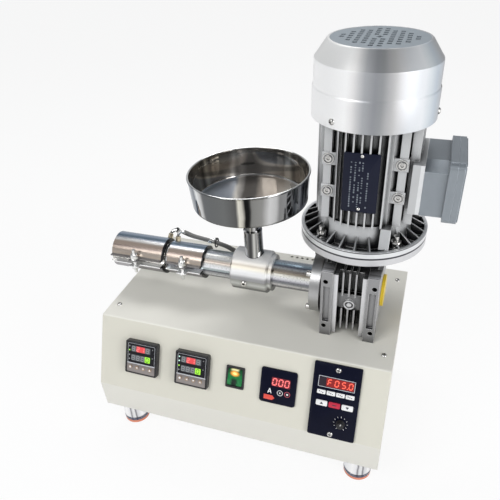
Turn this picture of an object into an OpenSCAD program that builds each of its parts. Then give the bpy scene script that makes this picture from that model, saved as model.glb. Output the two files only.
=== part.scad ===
// Desktop filament extruder: a worm-geared motor turns a screw in a heated
// barrel that is fed from a round bowl, on a control cabinet with four feet.
// Millimetres, +Z up, floor at Z = 0, cabinet front towards -Y.

/* [Cabinet] */
// Width of the cabinet
cab_w = 400; // [360:5:480]
// Depth of the top panel
cab_d = 217; // [215:1:280]
// Drop of the sloped control panel
slope_drop = 97.5; // [97:0.5:125]
// Reach of the sloped control panel in front of the top edge
slope_out = 38.5; // [20:0.5:60]
// Height of the plinth under the control panel
plinth_h = 46.5; // [30:0.5:80]
// Set-back of the plinth's lower edge
plinth_in = 3.5; // [0:0.5:10]
// Thickness of the sheet steel
sheet = 1.5; // [1:0.1:2.5]
// Outside radius of the folds
fold_r = 3; // [2.6:0.1:5]
// Distance of the cover screws from the sides
screw_side = 12.5; // [9:0.5:20]
// Distance of the cover screws from the front and back edges
screw_end = 26; // [15:0.5:40]

/* [Feet] */
// Height of a foot with its pad
foot_h = 46; // [30:1:70]
// Radius of a foot
foot_r = 19; // [15:0.5:26]
// Distance of the foot centres from the sides
foot_side = 28; // [26:0.5:45]
// Distance of the foot centres from the cabinet's lower front and back
foot_end = 29; // [26:0.5:45]
// Thickness of the rubber pad
pad_h = 5; // [3:0.5:8]

/* [Control panel] */
// Side of a square instrument bezel
meter_w = 48; // [45:0.5:52]
// Projection of a temperature controller's bezel
controller_t = 8.4; // [5:0.1:12]
// Projection of the ammeter's bezel
ammeter_t = 2.4; // [2:0.1:5]
// Across position of the first temperature controller
controller_1_x = -133; // [-140:0.5:-128]
// Across position of the second temperature controller
controller_2_x = -57.5; // [-62:0.5:-52]
// Across position of the power rocker
rocker_x = 3; // [-6:0.5:10]
// Across position of the ammeter
ammeter_x = 62.5; // [56:0.5:70]
// Across position of the speed controller
speed_x = 136.5; // [132:0.5:142]
// Distance of the instruments' centres down the slope
meter_v = 51; // [48:0.5:58]
// Distance of the speed controller's centre down the slope
speed_v = 54; // [53:0.5:60]
// Width of the speed controller's plate
speed_w = 60; // [54:0.5:64]
// Height of the speed controller's plate
speed_h = 100; // [92:0.5:102]
// Thickness of the speed controller's plate
speed_t = 3; // [2:0.1:5]
// Radius of the speed knob
knob_r = 5.5; // [4:0.1:7]
// Height of the speed knob
knob_h = 8; // [5:0.5:14]

/* [Gearbox] */
// Across position of the gearbox and motor
drive_x = 136; // [134:0.5:140]
// Distance of the gearbox's foot face behind the cabinet's top front edge
rail_y = 44; // [38:0.5:46]
// Width over the gearbox's rails
gear_w = 71; // [68:0.5:80]
// Height of the gearbox along the worm
gear_h = 100; // [100:1:112]
// Distance of the output axis behind the foot face
output_off = 50; // [48:0.5:56]
// Distance between the worm axis and the output axis
centre_dist = 40; // [36:0.5:44]
// Radius of the wheel housing
wheel_r = 44; // [40:0.5:46]
// Radius of the worm housing
worm_r = 30; // [26:0.5:32]
// Height of the motor seat above the gearbox's foot
seat_h = 119; // [116:0.5:126]

/* [Motor] */
// Radius of the motor flange
flange_r = 80.5; // [76:0.5:84]
// Thickness of the motor flange
flange_t = 9; // [7:0.5:12]
// Diameter of the flange's bolt circle
flange_pcd = 130; // [126:0.5:134]
// Height of the ribbed end bell above the flange
bell_h = 22; // [16:0.5:30]
// Height of the finned body
body_h = 123; // [100:1:150]
// Radius of the finned body over its fins
body_r = 62; // [56:0.5:64]
// Height of the fan cowl
cowl_h = 85; // [70:1:100]
// Radius of the fan cowl's lower band
cowl_r = 72; // [70:0.5:76]
// Radius of the fan cowl's flat grille
grille_r = 55.5; // [48:0.5:60]
// Thickness of the cowl's sheet
cowl_t = 1.2; // [0.8:0.1:2]

/* [Terminal box] */
// Depth of the terminal box from front to back
box_d = 84; // [76:1:90]
// Height of the terminal box
box_h = 62; // [54:1:70]
// Distance of the terminal box's centre in front of the motor axis
box_shift = 4.5; // [0:0.5:8]
// Projection of the terminal box from the motor's side, with its lid
box_out = 48.5; // [42:0.5:60]
// Thickness of the lid
lid_t = 8.5; // [6:0.5:12]

/* [Barrel] */
// Outside radius of the barrel
barrel_r = 19; // [16:0.5:21]
// Radius of the screw bore
bore_r = 8.2; // [6:0.1:10]
// Across position of the barrel's left end
barrel_end_x = -132; // [-140:1:-125]
// Outside radius of the die head
die_r = 21; // [19:0.5:22]
// Across position of the die's face
die_x = -217; // [-230:1:-208]
// Radius of the filament orifice
orifice_r = 1.5; // [0.8:0.05:2]
// Radius of the mounting disc
disc_r = 42; // [40:0.5:44]
// Thickness of the mounting disc
disc_t = 13; // [8:0.5:16]
// Across position of the mounting disc's left face
disc_x = 83; // [80:0.5:85]
// Radius of the first heater band
heater_1_r = 25.7; // [24:0.1:28]
// Length of the first heater band
heater_1_l = 80; // [60:1:82]
// Radius of the second heater band
heater_2_r = 23.6; // [22:0.1:26]
// Length of the second heater band
heater_2_l = 54; // [40:1:58]

/* [Feed] */
// Radius of the feed block
feed_r = 29.5; // [26:0.5:32]
// Across position of the feed block's left face
feed_x = -30.5; // [-34:0.5:-26]
// Length of the feed block with its collar
feed_l = 57; // [50:0.5:60]
// Across position of the hopper's neck
neck_x = -2.5; // [-6:0.5:2]
// Outside radius of the neck's sleeve
sleeve_r = 12.7; // [11:0.1:14]
// Outside radius of the hopper's spout
spout_r = 10; // [9.5:0.1:10.5]
// Lean of the hopper in its sleeve
hopper_lean = 2; // [0:0.5:3]
// Height of the bowl's floor above the barrel axis
bowl_lift = 108; // [95:1:125]
// Depth of the bowl
bowl_h = 41; // [30:1:60]
// Radius of the bowl's rim
rim_r = 77.5; // [70:0.5:78]
// Radius of the bowl at its floor
bowl_r = 74; // [64:0.5:76]
// Thickness of the bowl's sheet
bowl_t = 1.2; // [0.8:0.1:2]

/* [Hidden] */
$fn = 64;
fit = 0.15;          // gap between pieces that seat on each other
clear = 0.4;         // gap round screws and moving pieces
cut = 1;             // overrun of a cutting shape
cab_h = slope_drop + plinth_h;
top_z = foot_h + cab_h;
tilt = atan2(slope_out, slope_drop);
front_low_y = plinth_in - slope_out;
output_y = rail_y + output_off;
drive_y = output_y + centre_dist;
axis_z = top_z + gear_h / 2;
seat_z = top_z + seat_h;
input_t = 10;                         // thickness of the gearbox's input flange
bell_z = seat_z + flange_t;
body_z = bell_z + bell_h;
cowl_z = body_z + body_h - 1;
cowl_top = cowl_z + cowl_h;
gear_x0 = drive_x - gear_w / 2;
gear_x1 = drive_x + gear_w / 2;
motor_side_x = drive_x + body_r;
box_x1 = motor_side_x + box_out;
box_z0 = body_z + 20;
box_y = drive_y - box_shift - box_d / 2;
heater_2_x = barrel_end_x + 4.5;
heater_1_x = barrel_end_x - 2 - heater_1_l;
inlet_out = 4;                        // projection of the mains inlet
knob_v = 81.6;                        // distance of the knob down the slope
knob_x = speed_x + 11.8;
knob_gap = 0.4;
knob_top = speed_t + knob_gap + knob_h;
front_y = -knob_v * sin(tilt) - knob_top * cos(tilt) - knob_r * sin(tilt);
back_y = cab_d + inlet_out;
origin_x = (die_x + box_x1) / 2;
origin_y = (front_y + back_y) / 2;

// The part's origin: centre of its outline on the floor
module machine() { translate([-origin_x, -origin_y, 0]) children(); }

// Local frame on the control panel: x across, y up the slope, z out of the panel
module on_panel(x, v) {
    translate([x, -v * sin(tilt), top_z - v * cos(tilt)]) rotate([90 - tilt, 0, 0]) children();
}

// Cylinder along +X from x0 to x1
module rod_x(x0, x1, r) { translate([x0, 0, 0]) rotate([0, 90, 0]) cylinder(h = x1 - x0, r = r); }

// Local frame on the barrel's axis
module on_barrel() { translate([0, output_y, axis_z]) children(); }

// Block centred across x and y, standing on z0
module slab(w, d, h, z0 = 0) { translate([-w / 2, -d / 2, z0]) cube([w, d, h]); }

// Rounded rectangle as an outline with true arcs
module round_rect(w, h, r) {
    square([w - 2 * r, h], center = true);
    square([w, h - 2 * r], center = true);
    for (x = [-1, 1], y = [-1, 1]) translate([x * (w / 2 - r), y * (h / 2 - r)]) circle(r);
}

// Arc that rounds the corner b between a and c
function unit(v) = v / norm(v);
function turn(a) = a > 180 ? a - 360 : a < -180 ? a + 360 : a;
function corner(a, b, c, r, steps = 6) =
    let (u = unit(a - b), w = unit(c - b), half = acos(u * w) / 2,
        m = b + unit(u + w) * r / sin(half),
        p = b + u * r / tan(half) - m, q = b + w * r / tan(half) - m,
        s = atan2(p.y, p.x), e = turn(atan2(q.y, q.x) - s))
    [for (i = [0:steps]) m + r * [cos(s + e * i / steps), sin(s + e * i / steps)]];
// Corner b moved inwards by t from both of its sides
function inset(a, b, c, t) =
    let (u = unit(a - b), w = unit(c - b)) b + unit(u + w) * t / sin(acos(u * w) / 2);

// The same corner for a sheet's face that lies t inside the outline
function fold(a, b, c, t) =
    let (i = inset(a, b, c, t)) corner(i + a - b, i, i + c - b, fold_r - t);
function reversed(l) = [for (i = [len(l) - 1:-1:0]) l[i]];

// Side outline of the cabinet as [y, z], from the top back edge to the lower front edge, t inside
top_back = [cab_d, top_z];
top_front = [0, top_z];
crease = [-slope_out, top_z - slope_drop];
low_front = [front_low_y, foot_h];
plinth_lean = norm([plinth_in, plinth_h]) / plinth_h;
function skin(t) = concat(
    [[cab_d, top_z - t]],
    fold(top_back, top_front, crease, t),
    fold(top_front, crease, low_front, t),
    [low_front + [t * plinth_lean, 0]]);

// Outline in the YZ plane, extruded along +X from x0 to x1
module side_shape(x0, x1) {
    translate([x0, 0, 0]) rotate([90, 0, 90]) linear_extrude(x1 - x0) children();
}

cream = [0.85, 0.84, 0.80];
steel = [0.72, 0.72, 0.73];
alloy = [0.66, 0.67, 0.68];
polished = [0.80, 0.80, 0.82];
black = [0.10, 0.10, 0.11];
navy = [0.08, 0.10, 0.22];
brass = [0.75, 0.62, 0.35];
yellow = [0.85, 0.65, 0.15];

// ---- Cabinet

inner_w = cab_w - 2 * sheet - 2 * fit;      // width between the side panels
vent_x = 20.7;                              // first hole of the vent row
vent_step = 8.4;
vent_count = 12;
vent_r = 2.2;
vent_edge = 6.5;                            // from the row to the cover's back edge
shank_r = 2;                                // cover screws
shank_l = 11;
head_r = 3.6;
head_h = 2;
flange_w = 22;                              // flange of a side panel under the cover
stud_r = 4;                                 // threaded stud of a foot
stud_l = 14;
groove_h = 1.5;                             // groove round a foot above its base
groove_d = 0.8;
base_band = 4;
inlet_x = 140;                              // mains inlet in the back panel
inlet_z = foot_h + 40;
inlet_plate = [48, 28];
inlet_body = [28, 20];
inlet_deep = 22;
inlet_socket = [24, 16];
socket_deep = 18;
louvre_x = [-110, -20];                     // two blocks of louvres in the back panel
louvre = [60, 3];
louvre_step = 9;
louvre_count = 6;

module at_cover_screws() {
    for (x = [-1, 1], y = [screw_end, cab_d - screw_end])
        translate([x * (cab_w / 2 - screw_side), y, top_z]) children();
}

module at_feet() {
    for (x = [-1, 1], y = [front_low_y + foot_end, cab_d - foot_end])
        translate([x * (cab_w / 2 - foot_side), y, 0]) children();
}

// Drill through a sheet that lies on Z = 0
module drill(r) { cylinder(h = 8 * sheet, r = r, center = true); }

// Cut-out through the control panel
module panel_hole(x, v, size) {
    on_panel(x, v) slab(size.x + 2 * clear, size.y + 2 * clear, 4 * sheet, -2 * sheet);
}

module cabinet_cover() {
    machine() color(cream) difference() {
        side_shape(-cab_w / 2, cab_w / 2) polygon(concat(skin(0), reversed(skin(sheet))));
        for (x = [controller_1_x, controller_2_x, ammeter_x]) panel_hole(x, meter_v, meter_case);
        panel_hole(rocker_x, meter_v, rocker_case);
        panel_hole(speed_x, speed_v, speed_case);
        at_cover_screws() drill(shank_r + clear);
        for (i = [0:vent_count - 1])
            translate([vent_x + i * vent_step, cab_d - vent_edge, top_z]) drill(vent_r);
        at_grommet() drill(grommet_r);
    }
}

module side_panel(side) {
    plate_x = side > 0 ? cab_w / 2 - sheet : -cab_w / 2;
    flange_x = side > 0 ? cab_w / 2 - flange_w : -cab_w / 2;
    machine() color(cream) difference() {
        union() {
            side_shape(plate_x, plate_x + sheet)
                polygon(concat(skin(sheet + fit), [[cab_d, foot_h]]));
            translate([flange_x, screw_end / 2, top_z - 2 * sheet - fit])
                cube([flange_w, cab_d - screw_end, sheet]);
        }
        at_cover_screws() drill(shank_r + clear);
    }
}
module left_side() { side_panel(-1); }
module right_side() { side_panel(1); }

module back_panel() {
    low_z = foot_h + sheet + fit;
    high_z = top_z - sheet - fit;
    machine() color(cream) difference() {
        translate([-inner_w / 2, cab_d - sheet, low_z]) cube([inner_w, sheet, high_z - low_z]);
        for (x = louvre_x, i = [0:louvre_count - 1])
            translate([x, cab_d, foot_h + cab_h / 2 + (i - louvre_count / 2) * louvre_step])
                cube([louvre.x, 4 * sheet, louvre.y], center = true);
        translate([inlet_x, cab_d, inlet_z])
            cube([inlet_body.x + clear, 4 * sheet, inlet_body.y + clear], center = true);
    }
}

module base_plate() {
    front = front_low_y + sheet * plinth_lean + fit;
    back = cab_d - sheet - fit;
    machine() color(cream) difference() {
        translate([-inner_w / 2, front, foot_h]) cube([inner_w, back - front, sheet]);
        at_feet() translate([0, 0, foot_h]) drill(stud_r + clear);
    }
}

module cover_screws() {
    machine() color(steel) at_cover_screws() {
        cylinder(h = head_h, r = head_r);
        translate([0, 0, head_h / 2 - shank_l]) cylinder(h = shank_l, r = shank_r);
    }
}

module foot_cups() {
    cup_z = pad_h + base_band + groove_h;
    machine() color(polished) at_feet() {
        translate([0, 0, pad_h]) cylinder(h = base_band, r = foot_r);
        translate([0, 0, pad_h]) cylinder(h = foot_h - pad_h, r = foot_r - groove_d);
        translate([0, 0, cup_z]) cylinder(h = foot_h - cup_z, r = foot_r);
        translate([0, 0, foot_h - cut]) cylinder(h = stud_l, r = stud_r);
    }
}

module foot_pads() {
    machine() color([0.75, 0.25, 0.18]) at_feet() cylinder(h = pad_h, r = foot_r - groove_d / 2);
}

module mains_inlet() {
    machine() color(black) translate([inlet_x, cab_d, inlet_z]) rotate([-90, 0, 0]) difference() {
        union() {
            slab(inlet_plate.x, inlet_plate.y, inlet_out - fit, fit);
            slab(inlet_body.x, inlet_body.y, inlet_deep, fit - inlet_deep);
        }
        slab(inlet_socket.x, inlet_socket.y, socket_deep + cut, inlet_out - socket_deep);
    }
}

// ---- Instruments on the control panel

case_deep = 55;                             // depth of an instrument behind the panel
meter_case = [meter_w - 3.6, meter_w - 3.6];
meter_rim = 2.5;                            // raised rim round an instrument's face
meter_face = 0.8;                           // depth of the face below the rim
key_r = 2.6;                                // round keys of a temperature controller
key_h = 1.2;
key_step = 10;
key_shift = -0.8;
key_row = -14.4;                            // key row below the bezel's centre
corner_r = 1.5;

module meter(x, t, r) {
    machine() on_panel(x, meter_v) difference() {
        union() {
            translate([0, 0, fit]) linear_extrude(t - fit) round_rect(meter_w, meter_w, r);
            slab(meter_case.x, meter_case.y, case_deep, fit - case_deep);
        }
        slab(meter_w - 2 * meter_rim, meter_w - 2 * meter_rim, meter_face + cut, t - meter_face);
    }
}
module temp_controller_1() { color(black) meter(controller_1_x, controller_t, corner_r); }
module temp_controller_2() { color(black) meter(controller_2_x, controller_t, corner_r); }
module ammeter() { color(navy) meter(ammeter_x, ammeter_t, 2 * corner_r); }

module controller_keys() {
    machine() color([0.55, 0.45, 0.38])
        for (x = [controller_1_x, controller_2_x], i = [-1.5:1.5]) on_panel(x, meter_v)
            translate([i * key_step + key_shift, key_row, controller_t - meter_face])
                cylinder(h = key_h, r = key_r);
}

// The power switch: its frame is hollow, and the rocker turns on pins in the side walls
rocker_frame_w = 25.5;
rocker_frame_h = 31;
rocker_t = 2;                               // projection of the frame
rocker_case = [23.5, 28];
rocker_deep = 18;
rocker_floor = 4;
rocker_mouth = [20, 25.4];
rocker_pivot = -1;                          // pin height against the panel
rocker_tilt = 8;                            // the pressed half is the upper one
rocker_under = -5;
rocker_crest = 6;                           // height of the rocker's ends over its pins
rocker_dip = 2.8;                           // height of its middle
pin_r = 1.4;
pin_reach = 10.9;
pin_gap = 0.08;                             // running clearance of a pin or shaft in its bore

module rocker_frame() {
    pocket = pin_reach + clear / 2;
    machine() color(black) on_panel(rocker_x, meter_v) difference() {
        union() {
            translate([0, 0, fit]) linear_extrude(rocker_t - fit)
                round_rect(rocker_frame_w, rocker_frame_h, corner_r);
            slab(rocker_case.x, rocker_case.y, rocker_deep, fit - rocker_deep);
        }
        slab(rocker_mouth.x, rocker_mouth.y, rocker_deep + rocker_t, rocker_floor - rocker_deep);
        translate([0, 0, rocker_pivot]) rod_x(-pocket, pocket, pin_r + pin_gap);
    }
}

module power_rocker() {
    half_w = rocker_mouth.x / 2 - clear;
    swing_r = rocker_mouth.y / 2 - clear;
    reach = swing_r + cut;
    machine() color([0.15, 0.45, 0.20]) on_panel(rocker_x, meter_v)
        translate([0, 0, rocker_pivot]) rotate([-rocker_tilt, 0, 0]) {
            side_shape(-half_w, half_w) intersection() {
                circle(swing_r);
                polygon([[-reach, rocker_under], [reach, rocker_under], [reach, rocker_crest],
                    [0, rocker_dip], [-reach, rocker_crest]]);
            }
            rod_x(-pin_reach, pin_reach, pin_r);
        }
}

speed_case = [speed_w - 10, speed_h - 12];
window = [48, 14.5];                        // recess of the display, and its place down the slope
window_v = 29.5;
window_deep = 1;
small_key = [8, 4.5];
small_key_v = 43;
small_key_step = 12.1;
large_key = [12.6, 5.6];
large_key_v = 58.7;
large_key_step = 16.3;
shaft_r = 3;
shaft_deep = 4;                             // length of the knob's shaft behind the panel
pointer = 1.2;

module speed_controller() {
    machine() color(navy) on_panel(speed_x, speed_v) difference() {
        union() {
            translate([0, 0, fit]) linear_extrude(speed_t - fit)
                round_rect(speed_w, speed_h, corner_r);
            slab(speed_case.x, speed_case.y, case_deep, fit - case_deep);
        }
        translate([0, speed_v - window_v, speed_t - window_deep])
            slab(window.x, window.y, window_deep + cut);
        translate([knob_x - speed_x, speed_v - knob_v, -shaft_deep - cut])
            cylinder(h = shaft_deep + speed_t + 2 * cut, r = shaft_r + pin_gap);
    }
}

module speed_keys() {
    machine() color([0.9, 0.9, 0.9]) on_panel(speed_x, speed_v) {
        for (i = [-1.5:1.5]) translate([i * small_key_step, speed_v - small_key_v, speed_t])
            slab(small_key.x, small_key.y, key_h);
        for (i = [-1:1]) translate([i * large_key_step, speed_v - large_key_v, speed_t])
            slab(large_key.x, large_key.y, key_h);
    }
}

module speed_knob() {
    machine() color(black) on_panel(knob_x, knob_v) difference() {
        union() {
            translate([0, 0, speed_t + knob_gap]) cylinder(h = knob_h, r = knob_r);
            translate([0, 0, -shaft_deep]) cylinder(h = shaft_deep + knob_top - cut, r = shaft_r);
        }
        translate([0, knob_r, knob_top]) cube([pointer, knob_r, pointer], center = true);
    }
}

// ---- Gearbox

rail_w = 14.5;                              // foot rails on the front face
rail_d = 22;
rail_pad = 22;                              // solid height at each end of a rail
rail_rim = 3;
rail_recess = 4;
rail_side = 0;
gear_hole = [30, 35];                       // mounting holes, from the foot face's centre
gear_hole_r = 3.25;
gear_hole_l = 11;
gear_end = 4;                               // the block's set-back from the top and bottom
cover_t = 5.5;                              // side cover of the wheel housing
cover_in = 2;                               // its step in from the housing
cap_r = 21;
cap_t = 4;
drive_bore = 9.1;                           // hollow shaft that takes the screw's end
boss_r = 8;
boss_in = 8;                                // boss behind the foot face
fin_in = 5;
gear_fin = [2, 20];
gear_fin_step = 8;
gear_fin_shift = -1;
gear_fin_z = 12;
cheek_half = 15;                            // half the width between the walls beside the fins
cheek_in = 3;
plate_gap = [43, 65];                       // plate round the boss, between the two fin pockets
plate_in = 9;
pocket = [28, 16];                          // depth of the lower and the upper pocket

module at_rails() {
    for (x = [gear_x0 + rail_side, gear_x1 - rail_side - rail_w])
        translate([x, rail_y, top_z]) children();
}

module gearbox_housing() {
    core_w = gear_w - 2 * cover_t;
    core_y = output_y - worm_r;
    inner = [drive_x - cheek_half, drive_x + cheek_half];
    machine() color(alloy) {
        difference() {
            union() {
                translate([drive_x, drive_y, top_z]) cylinder(h = seat_h - input_t, r = worm_r);
                on_barrel() rod_x(gear_x0, gear_x1 - cover_t, wheel_r);
                translate([drive_x - core_w / 2, core_y, top_z + gear_end])
                    cube([core_w, drive_y - core_y, gear_h - 2 * gear_end]);
                at_rails() cube([rail_w, rail_d, gear_h]);
                translate([gear_x0 + rail_w - cut, rail_y + cheek_in, top_z + gear_end])
                    cube([gear_w - 2 * rail_w + 2 * cut, rail_d, gear_h - 2 * gear_end]);
            }
            translate([inner[0], rail_y, top_z + gear_end / 2])
                cube([2 * cheek_half, pocket[0], plate_gap[0] - gear_end / 2]);
            translate([inner[0], rail_y, top_z + plate_gap[1]])
                cube([2 * cheek_half, pocket[1], gear_h]);
            translate([inner[0], rail_y, top_z])
                cube([2 * cheek_half, plate_in, gear_h]);
            at_rails() translate([rail_rim, -cut, rail_pad])
                cube([rail_w - 2 * rail_rim, rail_recess + cut, gear_h - 2 * rail_pad]);
            for (x = [-1, 1], z = [-1, 1])
                translate([drive_x + x * gear_hole.x, rail_y - cut, axis_z + z * gear_hole.y])
                    rotate([-90, 0, 0]) cylinder(h = gear_hole_l + cut, r = gear_hole_r);
            on_barrel() rod_x(gear_x0 - cut, drive_x, drive_bore);
        }
        for (i = [-1:1]) translate([drive_x + gear_fin_shift + i * gear_fin_step - gear_fin.x / 2,
                rail_y + fin_in, top_z]) {
            translate([0, 0, gear_fin_z])
                cube([gear_fin.x, pocket[0] - fin_in + cut, plate_gap[0] - gear_fin_z + cut]);
            translate([0, 0, plate_gap[1] - cut])
                cube([gear_fin.x, gear_fin.y, gear_h - plate_gap[1]]);
        }
        translate([drive_x, rail_y + boss_in, axis_z]) rotate([-90, 0, 0])
            cylinder(h = plate_in - boss_in + cut, r = boss_r);
    }
}

module gearbox_input_flange() {
    machine() color(alloy) translate([drive_x, drive_y, seat_z - input_t]) difference() {
        translate([0, 0, fit]) cylinder(h = input_t - 2 * fit, r = flange_r);
        at_flange_bolts() cylinder(h = 3 * input_t, r = bolt_r + clear, center = true);
    }
}

module gearbox_side_cover() {
    machine() color(alloy) difference() {
        on_barrel() rod_x(gear_x1 - cover_t + fit, gear_x1, wheel_r - cover_in);
        translate([gear_x0, rail_y, top_z]) cube([2 * gear_w, rail_d + fit, gear_h]);
    }
}

module shaft_cap() {
    machine() color(yellow) on_barrel() rod_x(gear_x1 + fit, gear_x1 + cap_t, cap_r);
}

// ---- Motor

bolt_r = 4;                                 // flange bolts and their nuts
nut_r = 7.2;
nut_h = 7;
bolt_head_h = 6;
bolt_proud = 19;                            // bolt end above the flange face
nut_seat = 5;
nut_pocket = 9;                             // room round a nut between the ribs
web_t = 3;                                  // end bell: thickness of the web between its ribs
bell_rim = 4;
bell_taper = 6;
bell_ribs = 26;
bell_rib_t = 1.8;
lug_x = [27, 39];                           // lug on the bell's front, right of the axis
lug_out = 66.5;                             // reach of its foot and of its top
lug_top = 56;
core_in = 9;                                // depth of the body's fins
fin_t = 2;
fin_step = 9.5;
fin_shift = -2;                             // front fins stand off the axis
column = [27.5, 32, 38.5, 48];              // inner rib, slot and outer rib of a corner column
column_y = [46, 43];                        // reach of the inner and the outer rib
column_t = 4;
pad_low = 68.5;                             // mounting pads above the flange face
pad_step = 41.5;
pad_at = [42, 44];                          // screw beside the axis, and face in front of it
pad_in = 2.2;                               // the pad's centre, inwards from the screw
pad_size = [19.5, 15.5, 14];                // width, height, depth
pad_deep = 12;                              // depth of the tapped holes
pad_hole = 2.5;
pad_head = [4.4, 1.6];                      // screw heads on the pads: radius and height
hex_r = 2.2;
flank = [12, 10, 72];                       // flat flank: set-back from the fins, thickness, width
seat_root = 8;                              // the terminal box's seat
seat_out = 5;
cowl_lug = [12, 14];                        // lugs that carry the cowl: width and height
rotor_r = 7;                                // motor shaft that carries the fan
rotor_l = 50;
plate_w = 41;                               // name plate on the front fins
plate_h = 74;
plate_t = 0.8;
plate_z = body_z + 22;
plate_x = drive_x + fin_shift / 2;
plate_y = body_r - 2;
plate_recess = 10;

module at_flange_bolts() {
    for (a = [45:90:315]) rotate(a) translate([flange_pcd / 2, 0, 0]) children();
}

// Places of the mounting pads on the front and the back, each with Z out of its face
module at_pads(from_axis = pad_at.x) {
    for (side = [0, 180], x = [-1, 1], z = [0, pad_step])
        translate([drive_x, drive_y, seat_z + pad_low + z]) rotate(side)
            translate([x * from_axis, -pad_at.y, 0]) rotate([90, 0, 0]) children();
}

module motor_end_bell() {
    rib_top = flange_t + bell_h / 2;
    machine() color(alloy) translate([drive_x, drive_y, seat_z]) difference() {
        union() {
            difference() {
                cylinder(h = flange_t, r = flange_r);
                translate([0, 0, web_t]) cylinder(h = flange_t, r = flange_r - bell_rim);
            }
            cylinder(h = flange_t + bell_h, r1 = body_r, r2 = body_r - bell_taper);
            at_flange_bolts() cylinder(h = nut_seat, r = nut_pocket + cut);
            for (i = [0:bell_ribs - 1]) rotate((i + 0.5) * 360 / bell_ribs) rotate([90, 0, 0])
                linear_extrude(bell_rib_t, center = true)
                    polygon([[body_r - 2 * bell_taper, web_t - cut], [flange_r - cut, web_t - cut],
                        [flange_r - cut, flange_t - cut], [body_r - bell_taper, rib_top]]);
            side_shape(lug_x[0], lug_x[1])
                polygon([[-lug_out, web_t - cut], [-lug_out, flange_t], [-lug_top, flange_t + bell_h],
                    [-nut_pocket, flange_t + bell_h], [-nut_pocket, web_t - cut]]);
        }
        at_flange_bolts() cylinder(h = 4 * flange_t, r = bolt_r + clear, center = true);
        at_flange_bolts() translate([0, 0, nut_seat]) cylinder(h = bell_h, r = nut_pocket);
    }
}

module flange_bolts() {
    machine() color(polished) translate([drive_x, drive_y, seat_z]) at_flange_bolts() {
        translate([0, 0, nut_seat + fit]) cylinder(h = nut_h, r = nut_r, $fn = 6);
        translate([0, 0, -input_t - cut]) cylinder(h = input_t + bolt_proud + cut, r = bolt_r);
        translate([0, 0, -input_t - bolt_head_h]) cylinder(h = bolt_head_h, r = nut_r, $fn = 6);
    }
}

// Cross-section of the finned body
module body_section() {
    core = body_r - core_in;
    circle(core);
    intersection() {
        circle(body_r);
        for (i = [-3:3]) {
            translate([i * fin_step + fin_shift, 0]) square([fin_t, 2 * body_r], center = true);
            translate([0, i * fin_step]) square([2 * body_r, fin_t], center = true);
        }
    }
    for (side = [0, 180], flip = [0, 1]) rotate(side) mirror([flip, 0]) {
        translate([column[0], -column_y[0]]) square([column[1] - column[0], core_in]);
        translate([column[2], -column_y[1]]) square([column[3] - column[2], core_in + column_t]);
    }
    translate([body_r - flank[0], -flank[2] / 2]) square([flank[1], flank[2]]);
}

module motor_body() {
    machine() color(alloy) difference() {
        union() {
            translate([drive_x, drive_y, body_z + fit]) {
                linear_extrude(body_h - fit) body_section();
                cylinder(h = body_h + rotor_l, r = rotor_r);
            }
            translate([motor_side_x - seat_root, box_y, box_z0])
                cube([seat_root + seat_out, box_d, box_h]);
            at_pads(pad_at.x - pad_in) slab(pad_size.x, pad_size.y, pad_size.z, -pad_size.z);
            for (a = cowl_holes) translate([drive_x, drive_y, cowl_z + fit]) rotate(a)
                translate([0, -cowl_lug.x / 2, 0])
                    cube([cowl_r - cowl_t - clear, cowl_lug.x, cowl_lug.y]);
        }
        at_cowl_holes() cylinder(h = 2 * pad_deep, r = pad_hole, center = true);
        at_pads() cylinder(h = 2 * pad_deep, r = pad_hole, center = true);
        translate([plate_x, drive_y - plate_y, plate_z + plate_h / 2]) rotate([90, 0, 0])
            slab(plate_w + 2 * clear, plate_h + 2 * clear, plate_recess);
    }
}

module motor_pad_screws() {
    machine() color(steel) at_pads() difference() {
        union() {
            translate([0, 0, fit]) cylinder(h = pad_head[1], r = pad_head[0]);
            translate([0, 0, cut - pad_deep / 2]) cylinder(h = pad_deep / 2, r = hex_r);
        }
        translate([0, 0, clear]) cylinder(h = pad_head[1], r = hex_r, $fn = 6);
    }
}

module name_plate() {
    machine() color(navy) translate([plate_x, drive_y - plate_y - fit / 2, plate_z + plate_h / 2])
        rotate([90, 0, 0]) slab(plate_w, plate_h, plate_t);
}

// The cowl is a shell: bands, a step, a shoulder and a flat grille
cowl_band = 35;                             // height of the lower band
cowl_shoulder = 20;                         // height of the shoulder below the grille
cowl_step = 1.2;                            // set-back of the upper band
upper_r = cowl_r - cowl_step;
slot = [3, 12];                             // slots stated in the grille
slot_step = [20, 24];
cowl_hole_r = 2.4;                          // cowl screws
cowl_hole_z = 8;
cowl_holes = [-121, -1, 119];               // angles of the cowl screws

// Places of the cowl screws, each with Z out of the cowl
module at_cowl_holes() {
    translate([drive_x, drive_y, cowl_z + cowl_hole_z])
        for (a = cowl_holes) rotate(a) translate([cowl_r, 0, 0]) rotate([0, 90, 0]) children();
}

module fan_cowl() {
    shoulder_z = cowl_h - cowl_shoulder;
    machine() color([0.75, 0.76, 0.77]) difference() {
        translate([drive_x, drive_y, cowl_z]) rotate_extrude($fn = 96) polygon([
            [cowl_r - cowl_t, 0], [cowl_r, 0], [cowl_r, cowl_band],
            [upper_r, cowl_band + cowl_t], [upper_r, shoulder_z], [grille_r + cowl_t, cowl_h],
            [0, cowl_h], [0, cowl_h - cowl_t], [grille_r, cowl_h - cowl_t],
            [upper_r - cowl_t, shoulder_z - cowl_t], [upper_r - cowl_t, cowl_band - cowl_t],
            [cowl_r - cowl_t, cowl_band - 2 * cowl_t]]);
        for (x = [-1.5:1.5], y = [-1:1])
            translate([drive_x + x * slot_step.x, drive_y + y * slot_step.y, cowl_top])
                cube([slot.x, slot.y, 4 * cowl_t], center = true);
        at_cowl_holes() cylinder(h = 4 * cowl_t, r = cowl_hole_r, center = true);
    }
}

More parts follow.
